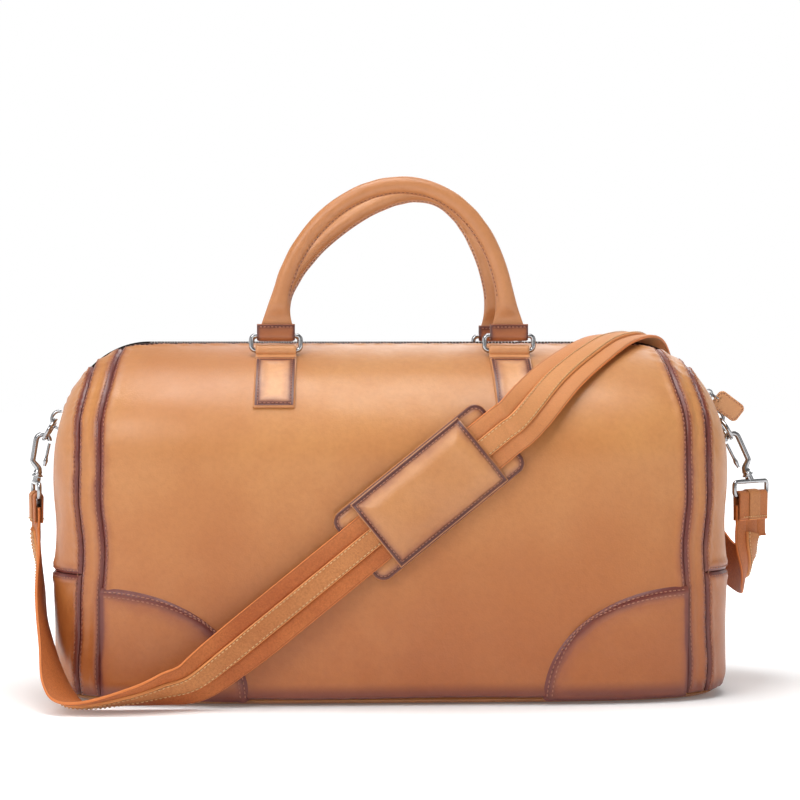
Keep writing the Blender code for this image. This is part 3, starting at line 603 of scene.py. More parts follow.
def thread(name, colour):
    n = Nodes(name)
    twist = n.noise(1600.0, 2)
    shade = n.mix(n.ramp(twist, 0.3, 0.7), times(colour, 0.6), colour)
    n.finish(n.mix(n.ramp(n.noise(40.0, 2), 0.4, 0.6, 0, 0.4), shade, times(colour, 0.7)), 0.6)
    n.height((twist, 0.0002, 0.4))
    return n.made


BURNISH, CORE = (146, 78, 50), (108, 48, 40)
# The body's leather has painted shade low down and on its bottom edge.
TAN = leather("tan", (199, 138, 81), (183, 116, 61), BURNISH, CORE, reach=9.5, patina=0.9)
PLAIN_TAN = leather("plain_tan", (198, 138, 86), (180, 116, 68))
RUST = strap_leather("strap", (190, 110, 56), (166, 86, 40))
STRIP = strap_leather("strip", (198, 132, 78), (174, 106, 58))
TAB = leather("tab", (222, 164, 112), (198, 134, 84), (124, 64, 58), (92, 42, 32), reach=12.0, edge=0.9)
ENDS = leather("fold", (176, 108, 64), (152, 86, 48), (106, 54, 42), (84, 38, 30), reach=6.0, edge=0.5)
PAD = leather("pad", (204, 144, 90), (180, 116, 66), (126, 66, 50), (86, 38, 28), reach=10.0, edge=0.6)
GRIP = leather("grip", (200, 140, 92), (182, 118, 70), BURNISH, BURNISH, reach=5.0)
PULL = leather("pull", (214, 156, 106), (198, 134, 84), (190, 126, 82), (170, 108, 70), reach=2.4)
BRASS = metal("zip_metal", (0.12, 0.075, 0.05), 0.5)
CHROME = metal("chrome", (0.44, 0.44, 0.45), 0.10)
TAPE = cloth("zip_tape", srgb(62, 36, 28))
LINING = cloth("lining_cloth", srgb(96, 76, 64))
BOARD = cloth("board", srgb(70, 56, 46), 0.0012, 0.9)
DARK_THREAD = thread("plum_thread", srgb(186, 124, 98))
GRIP_THREAD = thread("grip_thread", srgb(150, 96, 70))
CREAM_THREAD = thread("cream_thread", srgb(232, 188, 132))


# ---- the body ----


def wall_grid(x_of, columns, rows, face):
    """(h, angle) grid of a wall panel from the base seam to the zip's slot, closer spaced at its edges."""
    start = float(level_at(SEAM_Z + 0.0004))
    tops = np.array([top_level(lambda h, c=c: x_of(c, h)) for c in columns])
    h = start + (tops[None, :] - start) * rows[:, None]
    x = np.stack([x_of(c, h[:, k]) for k, c in enumerate(columns)], -1)
    return h, angle_at_x(h, x, face)


def crowded(count, low=-1.0, high=1.0, pull=0.55):
    """Shares from low to high that lie closer together at both ends."""
    t = np.linspace(-1, 1, count + 1)
    t = t * (1 - pull) + pull * np.sin(t * math.pi / 2)
    return low + (high - low) * (t + 1) / 2


def panel(node, h, angle, present=None):
    """A panel of the body's wall over a grid of h and angle, which stands for a CAD node."""
    outer, normal, d = on_body(h, angle)
    sheet(f"leather_{node}", outer, outer - normal * WALL, TAN, present, d, replaced=(node,))


def body_walls():
    rows = crowded(110, 0, 1)
    for face_name, face in FACES:
        def middle_x(c, h):
            return c * (seam_x(h, BAND_INNER_X) - SEAM_GAP / 2)

        panel(f"{face_name}_panel", *wall_grid(middle_x, crowded(190), rows, face))
    for face_name, face, side_name, side in CORNERS:
        def band_x(c, h, side=side):
            inner, outer = seam_x(h, BAND_INNER_X) + SEAM_GAP / 2, seam_x(h, BAND_OUTER_X) - SEAM_GAP / 2
            return side * (inner + (outer - inner) * c)

        panel(f"{face_name}_band_{side_name}", *wall_grid(band_x, crowded(18, 0, 1), rows, face))


def body_ends():
    """The upper and lower panel of each end. The upper one has a slot for the zip."""
    slot_h = float(level_at(SHOULDER_Z + SHOULDER_RISE * math.sin(ZIP_END) - SEAM_GAP))
    top = top_level(lambda h: seam_x(h, BAND_OUTER_X)) - 0.03
    arm, slot_cells = 44, 8
    lower = crowded(52, float(level_at(SEAM_Z + 0.0004)), float(level_at(END_SEAM_Z - SEAM_GAP)))
    plain = crowded(70, float(level_at(END_SEAM_Z + SEAM_GAP)), slot_h)
    split = np.linspace(slot_h, top, 40)[1:]
    for side_name, side in SIDES:
        for part, rows in (("lower", lower), ("panel", np.concatenate([plain, split]))):
            edge = np.abs(angle_at_x(rows, seam_x(rows, BAND_OUTER_X) + SEAM_GAP, 1))
            slot = np.abs(angle_at_y(rows, SLOT_Y, 1))
            t = 1 - (1 - crowded(arm, 0, 1)) ** 1.3
            reach = slot[:, None] + (edge - slot)[:, None] * t[None, :]
            across = slot[:, None] * np.linspace(-1, 1, slot_cells + 1)[None, 1:-1]
            angles = np.concatenate([-reach[:, ::-1], across, reach], 1)
            h = np.repeat(rows[:, None], angles.shape[1], 1)
            present = None
            if part == "panel":
                present = np.ones((len(rows) - 1, angles.shape[1] - 1), bool)
                present[len(plain) - 1:, arm:arm + slot_cells] = False
            panel(f"end_{part}_{side_name}", h, angles if side > 0 else math.pi - angles, present)


def patch_curve(u, v):
    """x and z on a corner patch at u towards the middle and v up, each 0 to 1."""
    z = SEAM_Z + 0.0004 + PATCH_HEIGHT * v * np.sqrt(1 - u * u / 2)
    x = BAND_INNER_X - 0.0003 - PATCH_LENGTH * u * np.sqrt(1 - v * v / 2)
    return x, z


def corner_patches():
    """Quarter-oval corners of a second layer of leather, sewn on with two rows along their curved edge."""
    u, v = np.meshgrid(crowded(46, 0, 1), np.linspace(0, 1, 47) ** 1.15)
    x, z = patch_curve(u, v)
    ring = np.linspace(0, 1, 220)
    whole = np.ones(220)
    arc_x, arc_z = patch_curve(np.concatenate([whole, ring[::-1]]), np.concatenate([ring, whole]))
    h, arc_h = level_at(z), level_at(arc_z)
    for face_name, face, side_name, side in CORNERS:
        angle = angle_at_x(h, side * x, face)
        arc = spot(arc_h, angle_at_x(arc_h, side * arc_x, face))
        d = distances(tree_of([resample(arc, 0.0004)]), spot(h, angle))
        edge = 0.0021 * (1 - bump(d, 0.0016)) + 0.0005 * bump(d - 0.005, 0.003)
        edge -= 0.0004 * bump(d - 0.0082, 0.0008)
        outer, _normal, to_seam = on_body(h, angle, edge, seams=False)
        inner = on_body(h, angle, seams=False)[0]
        near = np.minimum(0.0008 + d * 0.42, to_seam)
        node = f"{face_name}_corner_{side_name}"
        sheet(f"leather_{node}", outer, inner, TAN, None, near, replaced=(node,))


body_walls()
body_ends()
corner_patches()

# ---- stitching on the body ----

def body_stitches():
    """Rows beside every seam, along the patches' curved edges and beside the zip."""
    def row(h, angle, *lift, **how):
        points, normals, _d = on_body(h, angle, *lift, **how)
        stitch_line("body", points, normals)

    for _face_name, face, _side_name, side in CORNERS:
        for x, shift in ((BAND_INNER_X, -0.0028), (BAND_INNER_X, 0.0026), (BAND_OUTER_X, -0.0026),
                         (BAND_OUTER_X, 0.0026)):
            row(*wall_line(lambda h: side * (seam_x(h, x) + shift), face, 260).T)
        for inset in (0.0026, 0.0062):
            du, dv = inset / PATCH_LENGTH, inset / PATCH_HEIGHT
            u = np.concatenate([np.full(160, 1 - du), np.linspace(1 - du, 0.02, 160)])
            v = np.concatenate([np.linspace(0.05, 1 - dv, 160), np.full(160, 1 - dv)])
            x, z = patch_curve(u, v)
            h = level_at(z)
            row(h, angle_at_x(h, side * x, face), 0.0022, seams=False)
    for _face_name, face in FACES:
        row(*top_edge(0.197, SLOT_Y + 0.0030, face))
    for _side_name, side in SIDES:
        for shift in (-0.0028, 0.0028):
            row(*end_line(END_SEAM_Z + shift, 0.004, side))


# ---- shapes shared by the smaller parts ----


def rounded(half_u, half_v, corner, arc=8, straight=1):
    """A rounded rectangle, anticlockwise, as (n, 2) points."""
    points = []
    for quarter, (su, sv) in enumerate(((1, 1), (-1, 1), (-1, -1), (1, -1))):
        turn = np.linspace(quarter, quarter + 1, arc + 1) * math.pi / 2
        centre = np.array((su * (half_u - corner), sv * (half_v - corner)))
        points += list(centre + corner * np.stack([np.cos(turn), np.sin(turn)], -1))
    if straight == 1:
        return np.array(points)
    closed = np.array(points + points[:1])
    full = []
    for i, (p, q) in enumerate(zip(closed[:-1], closed[1:], strict=True)):
        pieces = straight if (i + 1) % (arc + 1) == 0 else 1
        full += [p + (q - p) * t / pieces for t in range(pieces)]
    return np.array(full)


def tube(name, path, radius, body, replaced=(), normal=Y, sides=18, closed=False):
    """A metal wire along a path, flat in the plane with this normal. radius is one number or one for each
    point."""
    across = unit(np.cross(along_of(path, closed), normal))
    turns = (np.arange(sides) + 0.5) * 2 * math.pi / sides
    size = np.broadcast_to(np.asarray(radius, float), (len(path),))[:, None, None]
    ring = across[:, None, :] * np.cos(turns)[:, None] + normal * np.sin(turns)[:, None]
    loft(name, path[:, None, :] + ring * size, CHROME, closed, body=body, slot="chrome", replaced=replaced)


def cushion(name, place, half, corner, top, bottom, look, straight, **rest):
    """A closed pad over a rounded rectangle. place(u, v, w) puts points in space, and top and bottom give w
    at (u, v) and the distance to the edge."""
    deepest = min(half) * 0.94
    insets = deepest * np.linspace(0, 1, 20) ** 1.9
    rings, seam = [], []
    for height, order in ((top, insets[::-1]), (bottom, insets)):
        for d in order:
            uv = rounded(half[0] - d, half[1] - d, max(corner - d, 0.0003), straight=straight)
            rings.append(place(uv[:, 0], uv[:, 1], height(uv[:, 0], uv[:, 1], d)))
            seam += [d * 1000] * len(uv)
    loft(name, rings, look, attributes={"seam": seam}, sharp=60, **rest)


def in_space(origin, a, b, c):
    """place(u, v, w), which puts arrays of points in space along a, b and c from an origin."""
    def place(u, v, w):
        u, v, w = np.broadcast_arrays(u, v, w)
        return origin + u[..., None] * a + v[..., None] * b + w[..., None] * c
    return place


def fold(name, place, half_width, inner, thickness, leg, pinch, look, burnt=1.0, **rest):
    """A strip folded round a bar: place(along, u, v) has the bar at (0, 0) and both legs along +v."""
    t = np.linspace(0, 1, 14)
    squeeze = pinch + (inner - pinch) * (1 - t) ** 2
    bend = np.linspace(math.pi, 2 * math.pi, 19)[1:-1]
    u = np.concatenate([-squeeze[::-1], inner * np.cos(bend), squeeze])
    v = np.concatenate([t[::-1] * leg, inner * np.sin(bend), t * leg])
    du, dv = np.gradient(u), np.gradient(v)
    size = np.hypot(du, dv)
    out_u, out_v = dv / size, -du / size
    across = crowded(20) * half_width
    run = run_of(np.stack([u, v], -1))
    end = np.minimum(run, run[-1] - run)[:, None]
    side = (half_width - np.abs(across))[None, :]
    d = np.minimum(end, side * 1.4 + 0.0008)
    thick = thickness * (1 - 0.35 * bump(np.minimum(end, side), 0.0007))
    grid_u, grid_v = u[:, None] + 0 * d, v[:, None] + 0 * d
    along = across[None, :] + 0 * d
    inner_face = place(along, grid_u, grid_v)
    outer_face = place(along, grid_u + out_u[:, None] * thick, grid_v + out_v[:, None] * thick)
    sheet(name, outer_face, inner_face, look, None, d * burnt, **rest)


# ---- the zip ----

BAIL_WIRE = 0.00062


def arc_at(turn, side):
    """Points of the zip's arc at one end, and its outward direction."""
    turn = np.asarray(turn, float)
    zero = 0 * turn
    on = np.stack([side * (RIDGE_HALF + SHOULDER_X * np.cos(turn)), zero,
                   SHOULDER_Z + SHOULDER_RISE * np.sin(turn)], -1)
    return on, unit(np.stack([side * np.cos(turn) / SHOULDER_X, zero, np.sin(turn) / SHOULDER_RISE], -1))


def zip_chain():
    """Both tapes, and teeth that reach over the middle from each in turn."""
    turn = np.linspace(ZIP_END, math.pi / 2, 60)
    left, left_out = arc_at(turn, -1)
    right, right_out = arc_at(turn[::-1], 1)
    line, out = np.concatenate([left, right]), np.concatenate([left_out, right_out])
    for face_name, face in FACES:
        rings = [line + Y * face * y + out * w for y, w in (
            (0.0014, -0.0016), (0.0141, -0.0016), (0.0141, -0.0004), (0.0080, -0.0001), (0.0030, 0.0),
            (0.0014, -0.0004))]
        loft(f"woven_zip_tape_{face_name}", np.stack(rings, 1), TAPE, slot="zip_tape",
             replaced=(f"zip_tape_{face_name}",), sharp=70)
    both = resample(np.concatenate([line, out], 1), 0.00125)
    points, faces = [], []
    corners = ((-1, -1), (1, -1), (1, 1), (-1, 1))
    for k in range(2, len(both) - 2):
        face = 1 if k % 2 else -1
        here, up = both[k, :3], unit(both[k, 3:])
        along = unit(both[k + 1, :3] - both[k - 1, :3])
        first = len(points)
        for y, half_along, half_up in ((-0.0008, 0.00030, 0.0006), (0.0003, 0.00052, 0.0010),
                                       (0.0026, 0.00046, 0.0008)):
            for a, b in corners:
                points.append(here + Y * face * y + along * a * half_along + up * (b * half_up + 0.0002))
        faces += [(first, first + 1, first + 2, first + 3), (first + 8, first + 11, first + 10, first + 9)]
        for low in (first, first + 4):
            faces += [(low + j, low + 4 + j, low + 4 + (j + 1) % 4, low + (j + 1) % 4) for j in range(4)]
    make("zip_teeth", points, faces, BRASS, "root", "chrome", ("zip_chain",), sharp=50)


def zip_slider():
    """The slider, its bail, and the ring and tab of its pull, at the right shoulder."""
    pivot, hub = anchor("zip_slider_travel"), arc_at(SLIDER_AT, 1)[0]
    out = unit(hub - pivot)
    along = np.cross(out, Y)
    place = in_space(hub, along, Y, out)

    def crown(u, v, d):
        waist = 0.0004 * np.cos(u * 600) * min(d / 0.001, 1)
        return 0.0031 - 0.0012 * (1 - min(d / 0.0012, 1)) ** 2 + 0.0003 * min(d / 0.002, 1) + waist

    def sole(u, v, d):
        return 0.0013 + 0.0002 * (1 - min(d / 0.001, 1)) + 0 * u

    cushion("slider_body", place, (0.0065, 0.0042), 0.0018, crown, sole, CHROME, 4, body="zip_slider",
            slot="chrome", replaced=("zip_slider",))
    bail = hub + out * 0.0036
    t = np.linspace(0, math.pi, 22)[:, None]
    arch = bail + 0.0034 * (along * np.cos(t) + out * np.sin(t))
    arch = np.concatenate([arch[:1] - out * 0.0006, arch, arch[-1:] - out * 0.0006])
    tube("slider_bail", arch, BAIL_WIRE, "zip_slider", ("zip_bail",), sides=12)
    pin = anchor("zip_pull_swing")
    drop = np.array((0.80, 0, -0.60))
    rise = np.cross(drop, Y)
    reach, half, aside = 0.0038, 0.0055, 0.0033
    uv = rounded(reach, half, 0.0016)
    loop = pin + drop * (uv[:, :1] + reach) + Y * uv[:, 1:]
    tube("pull_ring", loop, BAIL_WIRE, "zip_pull", ("zip_pull_ring",), rise, 12, True)
    pull_tab(pin + drop * 2 * reach - Y * aside, drop, rise)


def pull_tab(hole, drop, rise):
    """The leather tab of the zip, with a hole at its upper end and stitching round its edge."""
    length, width, thick, bore = 0.024, 0.015, 0.0016, 0.0015
    middle = np.array((length / 2 - 0.0030, 0))
    rings, seam = [], []
    levels = (0.0, 0.0003, 0.0007, 0.0013, 0.0022, 0.0032, 0.0042)
    for face, order in ((1, levels), (-1, levels[::-1])):
        for d in order:
            uv = rounded(length / 2 - d, width / 2 - d, max(0.0042 - d, 0.0004), arc=10, straight=6)
            uv = uv + middle
            w = thick / 2 * math.sqrt(max(0.0, 1 - (1 - min(d / 0.0008, 1)) ** 2))
            w -= 0.00015 * bump(d - 0.0014, 0.0005)
            rings.append(hole + uv[:, :1] * drop + uv[:, 1:] * rise + Y * face * w)
            seam += [d * 1000 + 1.2] * len(uv)
        if face > 0:
            turn = np.arctan2(uv[:, 1], uv[:, 0])
            edge = bore * np.stack([np.cos(turn), np.sin(turn)], -1)
            for w in (thick / 2, -thick / 2):
                rings.append(hole + edge[:, :1] * drop + edge[:, 1:] * rise + Y * w)
                seam += [9.0] * len(edge)
    loft("pull_tab", rings, PULL, True, {"seam": seam}, body="zip_pull", replaced=("zip_pull_tab",), sharp=60)
    uv = rounded(length / 2 - 0.0014, width / 2 - 0.0014, 0.0028, straight=8)
    uv = np.concatenate([uv, uv[:1]]) + middle
    for face in (1, -1):
        line = hole + uv[:, :1] * drop + uv[:, 1:] * rise + Y * face * (thick / 2 - 0.0001)
        stitch_line("pull", line, Y * face, 0.0024, 0.0017, 0.00028)


# ---- handles ----

TAB_WIDTH, TAB_T, TAB_BOTTOM_Z, TAB_TOP_Z = 0.030, 0.0022, 0.214, 0.2475
FOLD_WIDTH, FOLD_LEG, FOLD_T, FOLD_PINCH = 0.028, 0.0085, 0.0018, 0.0014
GRIP_R = 0.0063
ARCH_BASE_Z, ARCH_HALF = 0.2708, 0.0855
ARCH_LEAN, ARCH_SKEW = {"front": 0.007, "rear": 0.024}, {"front": 0.0, "rear": 0.6}
ARCH_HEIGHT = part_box("handle_grip_front")[1][2] - GRIP_R - ARCH_BASE_Z


def handle_tab(place, side, face):
    """A tab that lies on the wall, stitched round its border, and rolls over its ring's lower bar."""
    across = crowded(26) * TAB_WIDTH / 2
    z = crowded(44, TAB_BOTTOM_Z, TAB_TOP_Z)[:, None] + 0 * across
    splay = 0.0016 * (TAB_TOP_Z - z) / (TAB_TOP_Z - TAB_BOTTOM_Z)
    x = side * (HANDLE_X + splay) + across[None, :]
    h = level_at(z)
    lying, lying_out, _d = on_body(h, angle_at_x(h, x, face), 0.0004, seams=False)
    turn = np.radians(np.linspace(-40, 195, 34))
    inner = RING_WIRE + 0.0005
    out = np.stack([0 * turn, face * np.cos(turn), np.sin(turn)], -1)[:, None, :] + 0 * lying_out[:1]
    bar = np.array((side * HANDLE_X, face * HANDLE_Y, LOWER_BAR_Z)) + across[None, :, None] * X
    low = np.concatenate([lying, bar + out * inner])
    normal = np.concatenate([lying_out, out])
    middle = low[:, len(across) // 2]
    run = run_of(middle)[:, None]
    top = run[len(z) - 1]
    edge = (TAB_WIDTH / 2 - np.abs(across))[None, :]
    # The tab is darkened round its sides and foot as burnish, and along its top and onto the roll over the
    # bar partly as burnish and partly as painted shade under the roll.
    border = np.minimum(np.minimum(edge, run), np.abs(top - run))
    d = np.where(run <= top, border, 0.003 + (run - top) * 2.2)
    rim = np.minimum(edge, np.minimum(run, run[-1] - run))
    thick = TAB_T * (1 - 0.4 * bump(rim, 0.0006)) - 0.00025 * bump(border - 0.0024, 0.0006) * (run < top)
    thick = thick + 0.0006 * bump(border - 0.006, 0.003) * (run < top)
    high = low + normal * thick[..., None]
    sheet(f"leather_tab_{place}", high, low, TAB, None, d, replaced=(f"handle_tab_{place}",))
    inset, n = 0.0026, len(z)
    in_x = TAB_WIDTH / 2 - inset
    left, right = (np.argmin(np.abs(across - s * in_x)) for s in (-1, 1))
    foot = np.argmin(np.abs(run[:n, 0] - inset))
    at = [(i, left) for i in range(n - 3, 2, -1)]
    at += [(foot, j) for j, x_here in enumerate(across) if abs(x_here) <= in_x]
    at = tuple(np.array(at + [(i, right) for i in range(3, n - 2)]).T)
    stitch_line("body", high[at], normal[at], *FINE_STITCH)


def handle_end(place, side, face, face_name):
    """The folded end of a grip, round its ring's upper bar, with a row of stitches on each leg."""
    bar = np.array((side * HANDLE_X, face * HANDLE_Y, UPPER_BAR_Z))
    space = in_space(bar, X, Y * face, Z)
    fold(f"leather_fold_{place}", space, FOLD_WIDTH / 2, RING_WIRE + 0.0004, FOLD_T, FOLD_LEG, FOLD_PINCH,
         ENDS, 0.75, body=f"{face_name}_handle", replaced=(f"handle_end_{place}",))
    across = np.linspace(-1, 1, 30) * (FOLD_WIDTH / 2 - 0.0015)
    for s in (-1, 1):
        line = space(across, s * (FOLD_PINCH + FOLD_T), FOLD_LEG - 0.0022)
        stitch_line(f"{face_name}_handle", line, Y * face * s, 0.0028, 0.0020, 0.0004)


def handle_ring(place, side, face, face_name):
    middle = np.array((side * HANDLE_X, face * HANDLE_Y, (LOWER_BAR_Z + UPPER_BAR_Z) / 2))
    uv = rounded(0.0182, (UPPER_BAR_Z - LOWER_BAR_Z) / 2, 0.0034)
    tube(f"wire_ring_{place}", middle + uv[:, :1] * X + uv[:, 1:] * Z, RING_WIRE, f"{face_name}_rings",
         (f"handle_ring_{place}",), closed=True)


def handle_grip(face_name, face):
    """A rolled grip whose leather meets in a stitched ridge under the arch and opens out into two tongues."""
    t = crowded(150, 0, math.pi, 0.4)[:, None]
    rise = ARCH_HEIGHT * np.sin(t)
    slant, skew = ARCH_LEAN[face_name], ARCH_SKEW[face_name]
    lean = slant * np.sin(t) ** 2 * (1 - skew * np.cos(t))
    centre = np.concatenate([ARCH_HALF * np.cos(t) + lean, face * HANDLE_Y + 0 * t, ARCH_BASE_Z + rise], 1)
    turn = slant * (np.sin(2 * t) * (1 - skew * np.cos(t)) + skew * np.sin(t) ** 3)
    along = unit(np.concatenate([turn - ARCH_HALF * np.sin(t), 0 * t, ARCH_HEIGHT * np.cos(t)], 1))
    across = np.cross(along, Y)
    flat = np.clip(1 - rise / 0.034, 0, 1)
    tongue = np.clip((rise - 0.0062) / 0.013, 0, 1)
    tongue = tongue * tongue * (3 - 2 * tongue)
    wide = GRIP_R + (FOLD_WIDTH / 2 - 0.001 - GRIP_R) * flat**2
    thick = 0.0011 + (GRIP_R - 0.0011) * tongue
    turns = ((np.arange(36) + 0.5) * 2 * math.pi / 36)[None, :]
    away = np.abs((turns + math.pi) % (2 * math.pi) - math.pi)
    ridge = 0.0007 * bump(away, 0.14) - 0.0004 * bump(away - 0.36, 0.12)
    knead = 1 + 0.018 * np.sin(t * 23 + 2 * np.sin(t * 7)) * tongue
    ring = (across[:, None, :] * (np.cos(turns) * (wide * knead + ridge * tongue))[..., None]
            + Y * (np.sin(turns) * (thick * knead + ridge * tongue))[..., None])
    ends = np.minimum(np.abs(t), math.pi - np.abs(t)) * ARCH_HEIGHT * 1000
    seam = np.minimum(np.minimum(away * GRIP_R * 1000 + 3.0, 30) + 0 * t, ends * 0.7 + 2.0)
    loft(f"leather_grip_{face_name}", centre[:, None, :] + ring, GRIP, attributes={"seam": seam.ravel()},
         body=f"{face_name}_handle", replaced=(f"handle_grip_{face_name}",), sharp=60)
    keep, a = slice(16, -16), 0.42
    for s in (-1, 1):
        normal = unit(across * math.cos(a) + Y * s * math.sin(a))
        line = centre + across * math.cos(a) * wide + Y * s * math.sin(a) * thick
        stitch_line(f"{face_name}_grip", line[keep], normal[keep], 0.0032, 0.0022, 0.00030)


# ---- shoulder strap and pad ----

EYES = {}
for _name, _side in SIDES:
    _low, _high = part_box(f"strap_eye_{_name}")
    EYES[_name] = (np.array(_low) + np.array(_high)) / 2


def run_axes():
    along = unit(np.array((math.cos(RUN_SLOPE), 0.04 * math.sin(RUN_SLOPE), math.sin(RUN_SLOPE))))
    out = unit(np.cross(along, (-math.sin(RUN_SLOPE), 0, math.cos(RUN_SLOPE))))
    return along, np.cross(out, along), out


def strap_stations():
    """Points of the strap, and the way its outer face looks there, from the left eye round to the right."""
    along, _across, out = run_axes()

    def on_skin(x, z, lift, face):
        h = level_at(z)
        angle = angle_at_x(h, x, face)
        normal = skin_normal(h, angle)
        return spot(h, angle) + normal * lift, normal

    left_face, right_face = (-0.98, -0.20, 0), (0.707, -0.707, 0)
    left = [
        (EYES["left"] - Z * 0.0125, left_face), (EYES["left"] - Z * 0.0290, left_face),
        (EYES["left"] - Z * 0.0360, left_face), ((-0.2620, -0.024, 0.094), (-0.98, 0.05, 0)),
        ((-0.2580, -0.062, 0.066), (-0.95, 0.20, -0.05)), ((-0.2480, -0.101, 0.034), (-0.90, 0.20, -0.35)),
        ((-0.2375, -0.130, 0.0115), (-0.60, 0.15, -0.78)), ((-0.2230, -0.142, 0.0062), (-0.10, -0.13, -0.98)),
        ((-0.1900, -0.1435, 0.0110), (0, -0.40, -0.92)), ((-0.1660, -0.1400, 0.0162), (0, -0.67, -0.74)),
        ((-0.1450, -0.1365, 0.0215), (0, -0.85, -0.53)), ((-0.1210, -0.1325, 0.0382), (0, -0.966, -0.26)),
    ]
    run = [(PAD_CENTRE + along * s, out) for s in (-0.155, -0.125, -0.060, 0.0, 0.045, 0.070, 0.084)]
    over = [on_skin(*at) for at in (
        (0.117, 0.2300, 0.0065, -1), (0.146, 0.2505, 0.0040, -1), (0.170, 0.2600, 0.0045, -1),
        (0.193, 0.2575, 0.0070, 1), (0.208, 0.2380, 0.0060, 1), (0.222, 0.2050, 0.0065, 1),
        (0.233, 0.1650, 0.0100, 1))]
    right = [
        ((0.248, 0.093, 0.123), (0.74, 0.67, 0)), ((0.266, 0.080, 0.095), (0.92, 0.40, 0)),
        ((0.279, 0.060, 0.083), (1, 0.10, 0)), ((0.280, 0.024, 0.091), (0.93, -0.18, -0.31)),
        (EYES["right"] - Z * 0.0420, right_face), (EYES["right"] - Z * 0.0270, right_face),
        (EYES["right"] - Z * 0.0125, right_face),
    ]
    return [np.concatenate([p, f]) for p, f in left + run + over + right]


def curve_through(stations, count):
    """A smooth curve through the stations, with this many steps between two of them."""
    found = []
    for i in range(len(stations) - 1):
        ends = [stations[min(max(i + k, 0), len(stations) - 1)] for k in (-1, 0, 1, 2)]
        for t in np.linspace(0, 1, count + 1)[:count + (i == len(stations) - 2)]:
            weights = (2 * t**2 - t - t**3, 2 - 5 * t**2 + 3 * t**3, t + 4 * t**2 - 3 * t**3, t**3 - t**2)
            found.append(sum(w / 2 * end for w, end in zip(weights, ends, strict=True)))
    return np.array(found)


def strap():
    """The strap, and the strip sewn along its middle from fold to fold with stitches by each edge."""
    curve = curve_through(strap_stations(), 16)
    point = curve[:, :3]
    along = unit(along_of(point))
    out = unit(curve[:, 3:] - along * np.sum(curve[:, 3:] * along, 1, keepdims=True))
    across = np.cross(out, along)
    half, strip = STRAP_WIDTH / 2, CENTRE_WIDTH / 2

    def skin(name, outline, look, slot, node, sharp, keep=slice(None)):
        v, w = np.array(outline).T[:, None, :, None]
        grid = point[keep, None, :] + across[keep, None, :] * v + out[keep, None, :] * w
        seam = np.broadcast_to((np.abs(v).max() - np.abs(v[..., 0])) * 1000, grid.shape[:2])
        loft(name, grid, look, attributes={"seam": seam.ravel()}, slot=slot, replaced=(node,), sharp=sharp)

    t = STRAP_T / 2
    band = [(v, t - 0.0003 + 0.0004 * math.sin(math.pi * (v - strip) / (half - strip)))
            for v in np.linspace(strip + 0.0008, half - 0.0009, 7)]
    right = [(strip - 0.0008, t), (strip + 0.0003, t - 0.0005)] + band
    right += [(half - 0.0002, t - 0.0006), (half, 0.0)]
    top = [(-v, w) for v, w in right[::-1]] + right
    low = [(half - 0.0002, -t + 0.0005), (half - 0.0009, -t)]
    low += [(0, -t)] + [(-v, w) for v, w in low[::-1]]
    skin("leather_strap", (top + low)[::-1], RUST, "strap_leather", "shoulder_strap", 50)
    keep = slice(24, -24)
    base, lid = t - 0.0002, t + CENTRE_LIFT + CENTRE_T - 0.0004
    right = [(strip / 2, lid + 0.0002), (strip - 0.0016, lid), (strip - 0.0005, lid - 0.0001),
             (strip, lid - 0.0006), (strip, base)]
    strip_outline = [(-v, w) for v, w in right[::-1]] + [(0, lid + 0.00025)] + right
    skin("leather_strip", strip_outline, STRIP, "strip_leather", "strap_centre_strip", 60, keep)
    for s in (-1, 1):
        line = point + across * s * (strip - 0.0014) + out * lid
        stitch_line("strap", line[keep], out[keep], 0.0033, 0.0023, 0.00046, -0.0001)


PAD_LENGTH, PAD_WIDTH, PAD_T = 0.137, 0.061, 0.0045
SLEEVE_LENGTH, SLEEVE_WIDTH, SLEEVE_T = 0.099, 0.058, 0.0016


def sleeve_rise(v):
    """How much of its full height over the strap the sleeve has at v across it."""
    return 1 - (1 - np.clip((0.0268 - np.abs(v)) / 0.018, 0, 1)) ** 2.2


